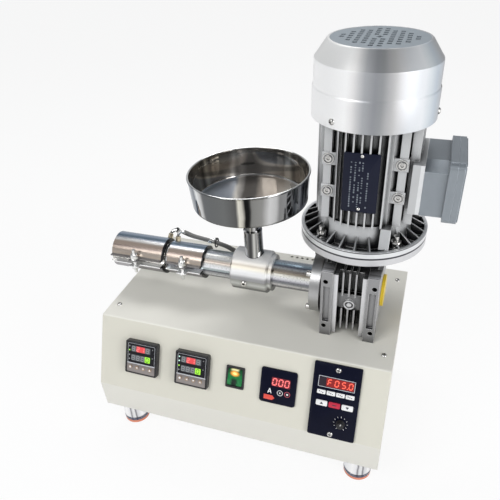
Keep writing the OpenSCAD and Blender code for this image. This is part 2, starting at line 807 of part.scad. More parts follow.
fan_blades = 7;
blade = [2, 18];                            // thickness and height
fan_hub = [14, 20];                         // radius and height
fan_clear = 14;                             // room between the blades and the cowl
fan_z = cowl_top - 40;

module cooling_fan() {
    blade_r = upper_r - fan_clear;
    machine() color(black) translate([drive_x, drive_y, fan_z]) difference() {
        union() {
            cylinder(h = fan_hub[1], r = fan_hub[0]);
            cylinder(h = blade.x, r = blade_r - fan_hub[0] / 2);
            for (i = [0:fan_blades - 1]) rotate(i * 360 / fan_blades)
                translate([rotor_r + cut, -blade.x / 2, 0]) cube([blade_r - rotor_r - cut, blade.x, blade.y]);
        }
        cylinder(h = 3 * fan_hub[1], r = rotor_r + fit, center = true);
    }
}

// ---- Terminal box

box_x0 = motor_side_x + seat_out + fit;
lid_x0 = box_x1 - lid_t;
rim_t = 9;                                  // rim of the box under its lid
rim_over = [4, 7];                          // overhang in front and behind, above and below
corner_bend = 8;
box_bevel = [22, 7];                        // bevel along the front top edge
lid_bevel = 1.5;
lid_screw = [4.5, 3];                       // radius and depth of the screw pockets
lid_screw_in = 7;
gland_r = 7;
gland_in = 5;
gland_nut = [11, 6];                        // radius over corners, height
gland_cone = [9, 7, 12];                    // lower and upper radius, height
gland_bore = 3.5;
gland_z = 24;                               // above the bottom of the box

module at_gland() {
    translate([(box_x0 + lid_x0 - rim_t) / 2, box_y + box_d, box_z0 + gland_z]) rotate([-90, 0, 0])
        children();
}

// Rounded outline of the rim and the lid, extruded along X from x
module rim_slab(x, t, smaller) {
    translate([x, box_y + box_d / 2, box_z0 + box_h / 2]) rotate([90, 0, 90]) linear_extrude(t)
        round_rect(box_d + 2 * (rim_over.x - smaller), box_h + 2 * (rim_over.y - smaller), corner_bend);
}

module terminal_box() {
    rim_x = lid_x0 - rim_t;
    machine() color(alloy) difference() {
        union() {
            translate([box_x0, box_y, box_z0]) cube([rim_x + cut - box_x0, box_d, box_h]);
            rim_slab(rim_x, rim_t - fit, 0);
        }
        translate([0, box_y, box_z0 + box_h])
            side_shape(box_x0 - cut, rim_x)
                polygon([[-cut, cut], [box_bevel.x, cut], [box_bevel.x, 0], [0, -box_bevel.y],
                    [-cut, -box_bevel.y]]);
        at_gland() translate([0, 0, -gland_in - clear]) cylinder(h = 2 * gland_in, r = gland_r + clear);
    }
}

module terminal_lid() {
    reach = [box_d / 2 + rim_over.x - lid_screw_in, box_h / 2 + rim_over.y - lid_screw_in];
    machine() color(alloy) difference() {
        union() {
            rim_slab(lid_x0, lid_t - lid_bevel, 0);
            rim_slab(lid_x0 + lid_t - lid_bevel - cut, lid_bevel + cut, lid_bevel);
        }
        for (y = [-1, 1], z = [-1, 1])
            translate([box_x1 - lid_screw[1], box_y + box_d / 2, box_z0 + box_h / 2])
                translate([0, y * reach.x, z * reach.y]) rotate([0, 90, 0])
                    cylinder(h = lid_t, r = lid_screw[0]);
    }
}

module cable_gland() {
    machine() color(black) at_gland() difference() {
        union() {
            translate([0, 0, -gland_in]) cylinder(h = gland_in + cut, r = gland_r);
            translate([0, 0, fit]) cylinder(h = gland_nut[1], r = gland_nut[0], $fn = 6);
            translate([0, 0, gland_nut[1]])
                cylinder(h = gland_cone[2], r1 = gland_cone[0], r2 = gland_cone[1]);
        }
        cylinder(h = 4 * gland_cone[2], r = gland_bore, center = true);
    }
}

// ---- Barrel line

barrel_x1 = disc_x + disc_t;
throat_r = 8;                               // feed opening in the top of the barrel
core_r = 5.2;                               // core of the feed screw
flight_r = bore_r - 0.2;
pitch = 16;
turns = 2;                                  // flights under the feed opening
hub_r = 30;                                 // between the disc and the gearbox
disc_bolt_ring = 37.5;
disc_bolt = [4, 6, 3, 2];                   // head radius and height, shank radius, socket radius
die_land = 8;                               // length of the orifice
die_funnel = 12;

module barrel() {
    machine() color(steel) on_barrel() difference() {
        rod_x(barrel_end_x, barrel_x1, barrel_r);
        rod_x(barrel_end_x - cut, barrel_x1 + cut, bore_r);
        translate([neck_x, 0, 0]) cylinder(h = barrel_r + cut, r = throat_r);
    }
}

module feed_screw() {
    flight_x = neck_x - turns * pitch / 2;
    machine() color(steel) on_barrel() {
        rod_x(die_x + die_land + die_funnel + cut, flight_x, flight_r);
        translate([flight_x, 0, 0]) rotate([0, 90, 0])
            linear_extrude(turns * pitch, twist = -360 * turns, slices = 12 * turns, segments = 12)
                translate([flight_r - core_r, 0]) circle(core_r, $fn = 12);
        rod_x(flight_x + turns * pitch, drive_x - cut, flight_r);
    }
}

module die_head() {
    machine() color([0.35, 0.33, 0.32]) on_barrel() difference() {
        rod_x(die_x, barrel_end_x - fit, die_r);
        rod_x(die_x + die_land + die_funnel, barrel_end_x, bore_r);
        translate([die_x + die_land, 0, 0]) rotate([0, 90, 0])
            cylinder(h = die_funnel, r1 = orifice_r, r2 = bore_r);
        rod_x(die_x - cut, die_x + die_land + cut, orifice_r);
    }
}

module at_disc_bolts() {
    for (a = [45:90:315]) rotate([a, 0, 0]) translate([0, disc_bolt_ring, 0]) children();
}

module mounting_disc() {
    machine() color(steel) on_barrel() difference() {
        union() {
            rod_x(disc_x, disc_x + disc_t, disc_r);
            rod_x(disc_x + disc_t, gear_x0 - fit, hub_r);
        }
        rod_x(disc_x - cut, barrel_x1, barrel_r + fit);
        rod_x(disc_x, gear_x0 + cut, drive_bore);
        at_disc_bolts() rod_x(disc_x - cut, gear_x0, disc_bolt[2] + fit);
    }
}

module disc_bolts() {
    head_x = disc_x - disc_bolt[1];
    machine() color(steel) on_barrel() at_disc_bolts() difference() {
        union() {
            rod_x(head_x, disc_x - fit, disc_bolt[0]);
            rod_x(disc_x - cut, disc_x + disc_t, disc_bolt[2]);
        }
        rod_x(head_x - cut, head_x + disc_bolt[1] / 2, disc_bolt[3]);
    }
}

// Heater bands: split rings with two lips along the slit and ears for the clamp bolt; each is
// given as [x, length, radius, inside, x of its terminal post, the post's angle behind the top]
post_in = 6;                                // from a post to the near end of its band
band_1 = [heater_1_x, heater_1_l, heater_1_r, die_r, heater_1_x + heater_1_l - post_in, 48];
band_2 = [heater_2_x, heater_2_l, heater_2_r, barrel_r, heater_2_x + post_in, 20];
slit = 8;
lip_t = 1.4;
lip_out = 4;
ear = [14, 11];                             // length and reach of an ear
band_angle = 3;                             // slit above the front of the band
clamp_r = 2.6;
clamp_in = 5.5;                             // from the band to the bolt's axis
clamp_nut = [5.6, 8, 4];                    // radius over corners, height above and below
clamp_end = [15, 10.5];                     // bolt above the upper lip and below the lower one

module at_clamp(band) {
    translate([band[0] + band[1] / 2, 0, 0]) rotate([-band_angle, 0, 0])
        translate([0, -band[2] - clamp_in, 0]) children();
}

// Both lips along x0 to x1, reaching out from a band of radius r
module lips(x0, x1, r, out) {
    side_shape(x0, x1) rotate(-band_angle)
        translate([-r - out, -slit / 2 - lip_t]) square([r, slit + 2 * lip_t]);
}

module heater_band(band) {
    r = band[2];
    middle = band[0] + band[1] / 2;
    machine() color(polished) on_barrel() difference() {
        union() {
            rod_x(band[0], band[0] + band[1], r);
            lips(band[0], band[0] + band[1], r, lip_out);
            lips(middle - ear.x / 2, middle + ear.x / 2, r, ear.y);
        }
        rod_x(band[0] - cut, band[0] + band[1] + cut, band[3] + fit);
        side_shape(band[0] - cut, band[0] + band[1] + cut) rotate(-band_angle)
            translate([-r - ear.y - cut, -slit / 2]) square([r + ear.y, slit]);
        at_clamp(band) cylinder(h = 2 * slit, r = clamp_r + clear, center = true);
    }
}
module heater_band_1() { heater_band(band_1); }
module heater_band_2() { heater_band(band_2); }

module clamp_bolts() {
    stack = slit / 2 + lip_t + fit;
    machine() color(polished) on_barrel() for (band = [band_1, band_2]) at_clamp(band) {
        translate([0, 0, -stack - clamp_end[1]])
            cylinder(h = 2 * stack + clamp_end[0] + clamp_end[1], r = clamp_r);
        translate([0, 0, stack]) cylinder(h = clamp_nut[1], r = clamp_nut[0], $fn = 6);
        translate([0, 0, -stack - clamp_nut[2]]) cylinder(h = clamp_nut[2], r = clamp_nut[0], $fn = 6);
    }
}

// Terminal posts behind the top of the bands, and the leads that run from them to a grommet
post_r = 3.6;
post_h = 7;
post_floor = 2;
post_step = 3.8;
lead_r = 2;
lead_sides = 8;
lead_x = -18;                               // grommet in the cabinet's top
lead_y = 52;                                // behind the barrel's axis
lead_split = 2.6;
lead_down = top_z - axis_z - 12;
grommet_r = 7;
grommet_rim = 2.5;

module at_post(band) {
    translate([band[4], 0, 0]) rotate([-band[5], 0, 0])
        translate([0, 0, band[2] + fit]) children();
}
function on_post(band, h) =
    [band[4], (band[2] + h) * sin(band[5]), (band[2] + h) * cos(band[5])];
function out_of_post(band) =
    [for (i = [0:2]) on_post(band, post_floor + 2 * fit + i * post_step)];

module at_grommet() { translate([lead_x, output_y + lead_y, top_z]) children(); }

lead_1 = concat(out_of_post(band_1), [[-135, 29.5, 27], [-128, 29, 26], [-119, 26, 25],
    [-107, 22, 24.5], [-94, 20, 24], [-82, 19.5, 23], [-72, 20, 21.5], [-63, 20.5, 18.5],
    [-52, 25, 12], [-45, 31, 2], [-39, 38, -10], [-32, 45, -24], [-25, 49, -38],
    [lead_x - lead_split, lead_y, -48], [lead_x - lead_split, lead_y, lead_down]]);
lead_2 = concat(out_of_post(band_2), [[-117, 12, 38], [-109, 12.5, 37], [-100, 13, 33.5],
    [-89, 13.5, 31], [-78, 13.5, 29.5], [-68, 14.5, 27.5], [-59, 17, 23.5], [-50, 21, 18],
    [-42, 27, 9], [-34, 34, -3], [-26, 42, -17], [-20, 48, -32],
    [lead_x + lead_split, lead_y, -46], [lead_x + lead_split, lead_y, lead_down]]);

// Smooth curve through a route's points, and a ring of points round it
function smooth(p, i, t) =
    let (a = p[max(i - 1, 0)], b = p[i], c = p[i + 1], d = p[min(i + 2, len(p) - 1)])
    b + (c - a) * t / 2 + (2 * a - 5 * b + 4 * c - d) * t * t / 2
        + (3 * b - a - 3 * c + d) * t * t * t / 2;
function route(p, n = 2) = concat(
    [for (i = [0:len(p) - 2], j = [0:n - 1]) smooth(p, i, j / n)], [p[len(p) - 1]]);
function ring(c, along, r) =
    let (d = unit(along), u = unit(cross(d, [1, -1, 0])), w = cross(d, u))
    [for (k = [0:lead_sides - 1]) c + r * cos(k * 360 / lead_sides) * u
        + r * sin(k * 360 / lead_sides) * w];

module swept(p, r) {
    q = route(p);
    n = len(q);
    points = [for (i = [0:n - 1]) each ring(q[i], q[min(i + 1, n - 1)] - q[max(i - 1, 0)], r)];
    sides = [for (i = [0:n - 2], k = [0:lead_sides - 1])
        let (a = i * lead_sides, b = a + lead_sides, m = (k + 1) % lead_sides)
        [a + k, a + m, b + m, b + k]];
    first = [for (k = [lead_sides - 1:-1:0]) k];
    last = [for (k = [0:lead_sides - 1]) (n - 1) * lead_sides + k];
    polyhedron(points, concat([first], sides, [last]));
}

module heater_leads() {
    machine() color([0.25, 0.24, 0.23]) on_barrel() for (p = [lead_1, lead_2]) swept(p, lead_r);
}

module lead_grommet() {
    machine() color(black) at_grommet() difference() {
        union() {
            translate([0, 0, fit]) cylinder(h = grommet_rim, r = grommet_r + grommet_rim);
            translate([0, 0, -2 * sheet]) cylinder(h = 3 * sheet, r = grommet_r - fit);
        }
        for (s = [-1, 1]) translate([s * lead_split, 0, 0]) drill(lead_r + clear);
    }
}

module heater_terminals() {
    machine() color(brass) on_barrel() for (band = [band_1, band_2]) at_post(band) difference() {
        cylinder(h = post_h, r = post_r);
        translate([0, 0, post_floor]) cylinder(h = post_h, r = lead_r + clear);
    }
}

// ---- Feed block and hopper

seat_up = 24;                               // neck's seat above the barrel axis
sleeve_l = 41;
sleeve_step = 20;                           // depth of the sleeve's narrow part
spout_in = spout_r - 1.5;                   // inside radius of the spout
collar_l = 5;                               // collar at the block's right end
collar_in = 4;
edge = 2;                                   // chamfer of the block's ends
lean_gap = 0.45;                            // under the leaning sleeve
set_x = -9.2;                               // set screw in the front of the block
set_angle = -8;
set_r = 3;
set_head = [4.4, 3];
set_hex = 2;

module at_set_screw() { translate([set_x, 0, 0]) rotate([90 - set_angle, 0, 0]) children(); }

module feed_block() {
    body_l = feed_l - collar_l;
    machine() color(steel) on_barrel() difference() {
        union() {
            translate([feed_x, 0, 0]) rotate([0, 90, 0]) {
                cylinder(h = edge, r1 = feed_r - edge, r2 = feed_r);
                translate([0, 0, edge]) cylinder(h = body_l - 2 * edge, r = feed_r);
                translate([0, 0, body_l - edge]) cylinder(h = edge, r1 = feed_r, r2 = feed_r - edge);
            }
            rod_x(feed_x + edge, feed_x + feed_l, feed_r - collar_in);
        }
        rod_x(feed_x - cut, feed_x + feed_l + cut, barrel_r + fit);
        translate([neck_x, 0, 0]) cylinder(h = feed_r + cut, r = throat_r);
        translate([neck_x, 0, seat_up]) cylinder(h = feed_r, r = sleeve_r + clear);
        at_set_screw() cylinder(h = feed_r + cut, r = set_r + fit);
    }
}

module feed_set_screw() {
    machine() color(steel) on_barrel() at_set_screw() difference() {
        union() {
            translate([0, 0, barrel_r + clear]) cylinder(h = feed_r - barrel_r, r = set_r);
            translate([0, 0, feed_r + fit]) cylinder(h = set_head[1], r = set_head[0]);
        }
        translate([0, 0, feed_r + cut]) cylinder(h = set_head[1], r = set_hex, $fn = 6);
    }
}

// The hopper's own frame, which leans about the seat of its neck
module on_neck() {
    on_barrel() translate([neck_x, 0, seat_up]) rotate([0, -hopper_lean, 0]) children();
}

module neck_sleeve() {
    machine() color(polished) on_neck() difference() {
        translate([0, 0, lean_gap]) cylinder(h = sleeve_l, r = sleeve_r);
        cylinder(h = 3 * sleeve_l, r = spout_in, center = true);
        translate([0, 0, sleeve_step]) cylinder(h = sleeve_l, r = spout_r + fit);
    }
}

bowl_bend = 5;                              // outside radius between floor and wall
rim_bead = 1.4;

module hopper_bowl() {
    floor_z = bowl_lift - seat_up;
    tail = sleeve_step + 2 * fit - floor_z;
    centre = [0, 0];
    base = [bowl_r, 0];
    rim = [rim_r, bowl_h];
    inner_base = inset(centre, base, rim, bowl_t);
    machine() color(polished) on_neck() translate([0, 0, floor_z]) {
        rotate_extrude($fn = 128) polygon(concat(
            [[spout_in, tail], [spout_r, tail], [spout_r, 0]],
            corner(centre, base, rim, bowl_bend),
            [rim, rim - [bowl_t, 0]],
            reversed(corner(inner_base + centre - base, inner_base, inner_base + rim - base,
                bowl_bend - bowl_t)),
            [[spout_in, bowl_t]]));
        translate([0, 0, bowl_h]) rotate_extrude($fn = 128)
            translate([rim_r - bowl_t / 2, 0]) circle(rim_bead, $fn = 24);
    }
}

cabinet_cover();
left_side();
right_side();
back_panel();
base_plate();
cover_screws();
foot_cups();
foot_pads();
mains_inlet();
temp_controller_1();
temp_controller_2();
controller_keys();
ammeter();
rocker_frame();
power_rocker();
speed_controller();
speed_keys();
speed_knob();
gearbox_housing();
gearbox_input_flange();
gearbox_side_cover();
shaft_cap();
motor_end_bell();
motor_body();
motor_pad_screws();
name_plate();
flange_bolts();
fan_cowl();
cooling_fan();
terminal_box();
terminal_lid();
cable_gland();
mounting_disc();
disc_bolts();
barrel();
feed_screw();
die_head();
heater_band_1();
heater_band_2();
clamp_bolts();
heater_terminals();
heater_leads();
lead_grommet();
feed_block();
feed_set_screw();
neck_sleeve();
hopper_bowl();
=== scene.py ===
import math
import random
import bmesh
import bpy
from mathutils import Matrix, Vector


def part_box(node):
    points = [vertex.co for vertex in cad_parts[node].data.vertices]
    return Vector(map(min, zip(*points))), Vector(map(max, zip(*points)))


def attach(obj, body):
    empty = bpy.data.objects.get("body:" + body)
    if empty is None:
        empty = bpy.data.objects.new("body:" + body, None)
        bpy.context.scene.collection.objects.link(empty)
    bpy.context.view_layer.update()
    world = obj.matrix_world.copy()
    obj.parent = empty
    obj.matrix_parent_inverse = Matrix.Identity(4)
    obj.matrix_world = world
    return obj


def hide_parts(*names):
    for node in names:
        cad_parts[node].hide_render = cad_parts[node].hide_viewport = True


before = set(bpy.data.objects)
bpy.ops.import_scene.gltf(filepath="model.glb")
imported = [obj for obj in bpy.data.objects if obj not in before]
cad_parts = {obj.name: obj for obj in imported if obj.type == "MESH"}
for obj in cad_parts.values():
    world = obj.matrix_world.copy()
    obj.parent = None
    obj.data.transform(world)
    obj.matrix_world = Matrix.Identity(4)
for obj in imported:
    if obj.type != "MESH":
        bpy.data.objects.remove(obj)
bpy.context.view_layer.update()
print("frame loaded:", len(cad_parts), "nodes")

# The extruder is described in millimetres: x from the cabinet's middle, y from the
# top front fold towards the back, z from the floor.
mm = 0.001
coverLow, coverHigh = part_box("cabinet_cover")
barrelLow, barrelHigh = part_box("barrel")
layout = {
    "middle": (coverLow.x + coverHigh.x) / 2,
    "front": (barrelLow.y + barrelHigh.y) / 2 - 0.094,    # 94 mm before the barrel's axis
    "top": 190.0,                                   # cabinet's top
    "axisY": 94.0,                                  # barrel's axis
    "axisZ": 240.0,
    "driveX": 136.0,                                # axis of gearbox and motor
    "driveY": 134.0,
    "panelTilt": math.atan2(38.5, 97.5),            # control panel, from upright
}
panelSine, panelCosine = math.sin(layout["panelTilt"]), math.cos(layout["panelTilt"])
toFrame = Matrix.Translation((layout["middle"], layout["front"], 0)) @ Matrix.Scale(mm, 4)


def spot(x, y, z, turnX=0, turnY=0, turnZ=0):
    place = Matrix.Translation((x, y, z))
    for angle, axis in ((turnZ, "Z"), (turnY, "Y"), (turnX, "X")):
        place = place @ Matrix.Rotation(math.radians(angle), 4, axis)
    return place


# A place on the control panel: across, down the slope, and out of it
def panelSpot(across, down, lift=0.0, turn=0.0):
    y = -down * panelSine - lift * panelCosine
    z = layout["top"] - down * panelCosine + lift * panelSine
    return spot(across, y, z, 90 - math.degrees(layout["panelTilt"])) @ spot(0, 0, 0, 0, 0, turn)


# An anticlockwise outline with rounded corners
def roundRect(width, height, radius, steps=5):
    points = []
    for cornerX, cornerY, start in ((1, -1, -90), (1, 1, 0), (-1, 1, 90), (-1, -1, 180)):
        for i in range(steps + 1):
            angle = math.radians(start + 90 * i / steps)
            points.append((cornerX * (width / 2 - radius) + radius * math.cos(angle),
                           cornerY * (height / 2 - radius) + radius * math.sin(angle)))
    return points


def ringOf(radius, sides):
    turns = [2 * math.pi * i / sides for i in range(sides)]
    return [(radius * math.cos(turn), radius * math.sin(turn)) for turn in turns]


# Faces over rings of as many points each; a ring of one point is an apex
def skin(rings, closed=False, caps=False):
    part = bmesh.new()
    made = [[part.verts.new(point) for point in ring] for ring in rings]
    if caps:
        part.faces.new(made[0][::-1])
        part.faces.new(made[-1])
    sides = max(len(ring) for ring in made)
    made = [ring * (sides // len(ring)) for ring in made]
    for below, above in zip(made, made[1:] + (made[:1] if closed else [])):
        for i in range(sides):
            j = (i + 1) % sides
            corners = list(dict.fromkeys((below[i], below[j], above[j], above[i])))
            if len(corners) > 2:
                part.faces.new(corners)
    return part


class Shape:
    def __init__(self, name, coat, replaces=(), body="machine", sharp=32.0):
        self.name, self.coat, self.replaces = name, coat, replaces
        self.body, self.sharp = body, sharp
        self.mesh = bmesh.new()
        self.at = Matrix.Identity(4)

    def take(self, part):
        part.transform(self.at)
        held = bpy.data.meshes.new("held")
        part.to_mesh(held)
        part.free()
        self.mesh.from_mesh(held)
        bpy.data.meshes.remove(held)

    # A flat outline, anticlockwise, raised from low to high
    def prism(self, outline, low, high, bevel=0.0, steps=2, both=False):
        part = skin([[(x, y, z) for x, y in outline] for z in (low, high)], caps=True)
        if bevel:
            part.faces.ensure_lookup_table()
            rims = list(part.faces[1].edges) + (list(part.faces[0].edges) if both else [])
            bmesh.ops.bevel(part, geom=rims, offset=bevel, segments=steps, profile=0.5,
                            affect="EDGES", clamp_overlap=True)
        self.take(part)

    def block(self, width, depth, low, high, bevel=0.0, radius=0.0):
        x, y = width / 2, depth / 2
        outline = roundRect(width, depth, radius) if radius else \
            [(-x, -y), (x, -y), (x, y), (-x, y)]
        self.prism(outline, low, high, bevel)

    # Points of radius and height, turned about Z; from the bottom outside to the top
    def lathe(self, profile, sides=48, closed=False):
        self.take(skin([[(x, y, height) for x, y in ringOf(radius, sides if radius else 1)]
                        for radius, height in profile], closed))

    # A closed frame between two outlines of as many points
    def ring(self, outer, inner, low, high, bevel=0.0):
        layers = [(0.0, low), (0.0, high - bevel)]
        if bevel:
            share = bevel / (Vector(outer[0]) - Vector(inner[0])).length
            layers += [(share, high), (1.0 - share, high)]
        layers += [(1.0, high - bevel), (1.0, low)]
        self.take(skin([[(a[0] + (b[0] - a[0]) * t, a[1] + (b[1] - a[1]) * t, z)
                         for a, b in zip(outer, inner)] for t, z in layers], closed=True))

    def tube(self, points, radius, sides=12):
        path = [Vector(p) for p in points]
        across, rings = None, []
        for i, point in enumerate(path):
            along = (path[min(i + 1, len(path) - 1)] - path[max(i - 1, 0)]).normalized()
            if across is None:
                across = along.orthogonal().normalized()
            across = (across - along * across.dot(along)).normalized()
            other = along.cross(across)
            rings.append([point + radius * (x * across + y * other)
                          for x, y in ringOf(1.0, sides)])
        self.take(skin(rings, caps=True))

    def finish(self):
        mesh = bpy.data.meshes.new(self.name)
        self.mesh.transform(toFrame)
        self.mesh.to_mesh(mesh)
        self.mesh.free()
        mesh.materials.append(finishes[self.coat])
        settle(self.name, mesh, self.replaces, self.body, self.sharp)


def addObject(name, data):
    made = bpy.data.objects.new(name, data)
    bpy.context.scene.collection.objects.link(made)
    return made


# Links a finished mesh as a piece that rides on a body
def settle(name, mesh, replaces=(), body="machine", sharp=40.0):
    mesh.polygons.foreach_set("use_smooth", [True] * len(mesh.polygons))
    mesh.set_sharp_from_angle(angle=math.radians(sharp))
    piece = addObject(name, mesh)
    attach(piece, body)
    if replaces:
        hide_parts(*replaces)


class Wire:
    # A socket's output with arithmetic; a number or another wire on the other side.
    def __init__(self, sheet, socket):
        self.sheet = sheet
        self.socket = socket

    def __add__(self, other): return self.sheet.math("ADD", self, other)
    def __radd__(self, other): return self.sheet.math("ADD", other, self)
    def __sub__(self, other): return self.sheet.math("SUBTRACT", self, other)
    def __rsub__(self, other): return self.sheet.math("SUBTRACT", other, self)
    def __mul__(self, other): return self.sheet.math("MULTIPLY", self, other)
    def __rmul__(self, other): return self.sheet.math("MULTIPLY", other, self)
    def __truediv__(self, other): return self.sheet.math("DIVIDE", self, other)
    def __gt__(self, other): return self.sheet.math("GREATER_THAN", self, other)
    def __lt__(self, other): return self.sheet.math("LESS_THAN", self, other)


class Sheet:
    def __init__(self, tree):
        self.tree = tree

    # One node: its settings first, then values or wires for its sockets
    def node(self, kind, settings=None, sockets=None, out=0):
        made = self.tree.nodes.new(kind)
        for key, value in (settings or {}).items():
            if key == "stops":
                ramp = made.color_ramp.elements
                while len(ramp) < len(value):
                    ramp.new(0.5)
                for element, (place, colour) in zip(ramp, value):
                    element.position = place
                    element.color = (*colour, 1)
            else:
                setattr(made, key, value)
        pairs = sockets.items() if isinstance(sockets, dict) else enumerate(sockets or [])
        for key, value in pairs:
            if isinstance(value, Wire):
                self.tree.links.new(value.socket, made.inputs[key])
            elif value is not None:
                made.inputs[key].default_value = value
        return Wire(self, made.outputs[out])

    def math(self, operation, first, second=0.0):
        return self.node("ShaderNodeMath", {"operation": operation}, [first, second])

    def absolute(self, value):
        return self.math("ABSOLUTE", value)

    def clamp(self, value):
        return self.node("ShaderNodeClamp", {}, {"Value": value})

    # Follows value smoothly from one limit to another, as 0 to 1
    def ramp(self, value, low, high):
        return self.node("ShaderNodeMapRange", {"interpolation_type": "SMOOTHSTEP", "clamp": True},
                         {"Value": value, "From Min": low, "From Max": high})

    def mixColour(self, amount, first, second, blend="MIX"):
        first, second = [c if isinstance(c, Wire) else (*c, 1) for c in (first, second)]
        return self.node("ShaderNodeMix", {"data_type": "RGBA", "blend_type": blend},
                         {0: amount, 6: first, 7: second}, out=2)

    def apart(self, vector):
        made = self.node("ShaderNodeSeparateXYZ", {}, [vector])
        return [Wire(self, socket) for socket in made.socket.node.outputs]

    def join(self, x, y, z):
        return self.node("ShaderNodeCombineXYZ", {}, [x, y, z])


class Finish(Sheet):
    # A material's node sheet with its Principled shader
    def __init__(self, name, colour, roughness, metallic=0.0, **constants):
        self.material = bpy.data.materials.new(name)
        self.material.use_nodes = True
        super().__init__(self.material.node_tree)
        self.shader = self.tree.nodes["Principled BSDF"]
        self.place = self.node("ShaderNodeTexCoord", out=3)
        self.set("Base Color", (*colour, 1))
        self.set("Roughness", roughness)
        self.set("Metallic", metallic)
        for key, value in constants.items():
            self.set(key.replace("_", " "), value)

    def set(self, socket, value):
        if isinstance(value, Wire):
            self.tree.links.new(value.socket, self.shader.inputs[socket])
        else:
            self.shader.inputs[socket].default_value = value

    # Scale is in patterns per metre of the object; stretch squeezes it along an axis
    def noise(self, scale, detail=2.0, rough=0.5, stretch=None):
        place = self.place
        if stretch:
            place = self.node("ShaderNodeVectorMath", {"operation": "MULTIPLY"},
                              [place, stretch])
        return self.node("ShaderNodeTexNoise", {}, {"Vector": place, "Scale": scale,
                                                    "Detail": detail, "Roughness": rough})

    # Place in millimetres from a point of the extruder
    def awayFrom(self, x, y, z):
        origin = toFrame @ Vector((x, y, z))
        return [(at - start) / mm for at, start in zip(self.apart(self.place), origin)]

    # Angle from 0 to 1 round an upright axis, or round a level one that runs along X
    def turnRound(self, centre, level=False):
        x, y, z = self.awayFrom(*centre)
        angle = self.math("ARCTAN2", z, y) if level else self.math("ARCTAN2", y, x)
        return 0.5 + 0.5 * angle / math.pi

    # The finished material, with a bump of a depth in metres over edges softened by a radius
    def done(self, colour, roughness, height, depth, edge=0.0):
        self.set("Base Color", colour)
        self.set("Roughness", roughness)
        normal = self.node("ShaderNodeBevel", {"samples": 4}, {"Radius": edge}) if edge else None
        self.set("Normal", self.node("ShaderNodeBump", {}, {
            "Strength": 1.0, "Distance": depth, "Height": height, "Normal": normal}))
        return self.material

    # Colour by a turn of 0 to 1; stops are in degrees from +X, or from the back when level
    def ringColour(self, turn, stops):
        places = [((angle + 180.0) / 360.0, colour) for angle, colour in sorted(stops)]
        return self.node("ShaderNodeValToRGB", {"stops": places}, [turn])

    # 1 on open faces, towards 0 in pockets
    def openness(self, reach, local=True):
        return self.node("ShaderNodeAmbientOcclusion", {"samples": 6, "only_local": local},
                         {"Distance": reach}, out=1)

    # 1 on rounded-over edges, 0 on faces
    def edgeMask(self, radius):
        soft = self.node("ShaderNodeBevel", {"samples": 4}, {"Radius": radius})
        plain = self.node("ShaderNodeNewGeometry", out=1)
        level = self.node("ShaderNodeVectorMath", {"operation": "DOT_PRODUCT"}, [soft, plain],
                          out=1)
        return 0.8 * self.ramp(1.0 - level, 0.02, 0.12)


# A colour made lighter or darker
def toned(colour, gain, lift=0.0, limit=1.0):
    return [min(limit, c * gain + lift) for c in colour]


# Powder coat; the sloped panel takes a painted shade of its own, darker and warmer
def paintFinish(name, colour, roughness, panelShade):
    made = Finish(name, colour, roughness, Specular_IOR_Level=0.45)
    tone = 0.35 * made.noise(9.0, 3.0) + 0.25 * made.noise(2600.0, 1.0) + 0.2
    coat = made.mixColour(tone, toned(colour, 0.94), toned(colour, 1.04))
    rise = made.apart(made.node("ShaderNodeTexCoord", out=1))[2]
    sloped = made.ramp(rise, 0.15, 0.3) * (1.0 - made.ramp(rise, 0.45, 0.6))
    return made.done(made.mixColour(sloped, coat, panelShade, "MULTIPLY"),
                     roughness - 0.05 + 0.1 * made.noise(60.0, 3.0),
                     made.noise(700.0) + 0.4 * made.noise(2170.0, 1.0), 0.00004, 0.0008)


def steelFinish(name, colour, roughness, lines=0.0, depth=0.00001, reach=0.0, metallic=1.0):
    made = Finish(name, colour, roughness, metallic)
    cloud = made.noise(45.0, 3.0)
    groove = made.noise(lines or 900.0, 2.0, 0.7, (1, 0.01, 0.01) if lines else None)
    tone = made.clamp(0.55 * groove + 0.5 * cloud)
    base = made.mixColour(tone, toned(colour, 0.88), toned(colour, 1.06))
    # Painted shade: with a reach, near black in pockets by ambient occlusion
    if reach:
        base = made.mixColour(made.ramp(made.openness(reach), 0.35, 0.85), (0.01, 0.01, 0.012),
                              base)
    return made.done(base, roughness * (0.75 + 0.3 * cloud + 0.2 * groove), groove, depth, 0.0004)


# Bright steel with reflections painted into its colour in bands round an axis, from stops
# of degrees and colours. Left is the list that takes over to the left of split. The shade
# rings hold the place and half width of rings of painted shade, upper a height and the
# painted shade above it, and the notch the limits of a patch of painted shade: two angles
# and two heights.
def bandedFinish(name, stops, roughness, centre, level=False, depth=0.000006, metallic=1.0,
                 left=None, split=0.0, dark=(), upper=None, notch=None):
    made = Finish(name, (0.7, 0.7, 0.7), roughness, metallic)
    turn = made.turnRound(centre, level) + 0.012 * (made.noise(16.0) - 0.5)
    # Reflections painted into the colour by the angle round the axis
    colour = made.ringColour(turn, stops)
    x, _, z = made.awayFrom(0.0, 0.0, 0.0)
    if left:
        colour = made.mixColour(x < split, colour, made.ringColour(turn, left))
    # Rings of painted shade at band ends and between the bands
    for place, half in dark:
        colour = made.mixColour(made.ramp(made.absolute(x - place), half - 0.7, half),
                                (0.008, 0.008, 0.010), colour)
    # Painted shade above a height
    if upper:
        above = made.ramp(z, upper[0] - 0.5, upper[0] + 0.5)
        colour = made.mixColour(above, colour, upper[1], "MULTIPLY")
    # A patch of painted shade in a notch
    if notch:
        angle = 360.0 * turn - 180.0
        inside = (angle > notch[0]) * (angle < notch[1]) * (z > notch[2]) * (z < notch[3])
        colour = made.mixColour(inside, colour, (0.006, 0.006, 0.008))
    cloud = made.noise(500.0, 2.0, 0.7)
    grey = 0.96 + 0.06 * cloud
    return made.done(made.mixColour(1.0, colour, made.join(grey, grey, grey), "MULTIPLY"),
                     roughness * (0.9 + 0.2 * cloud), cloud, depth, 0.0004)
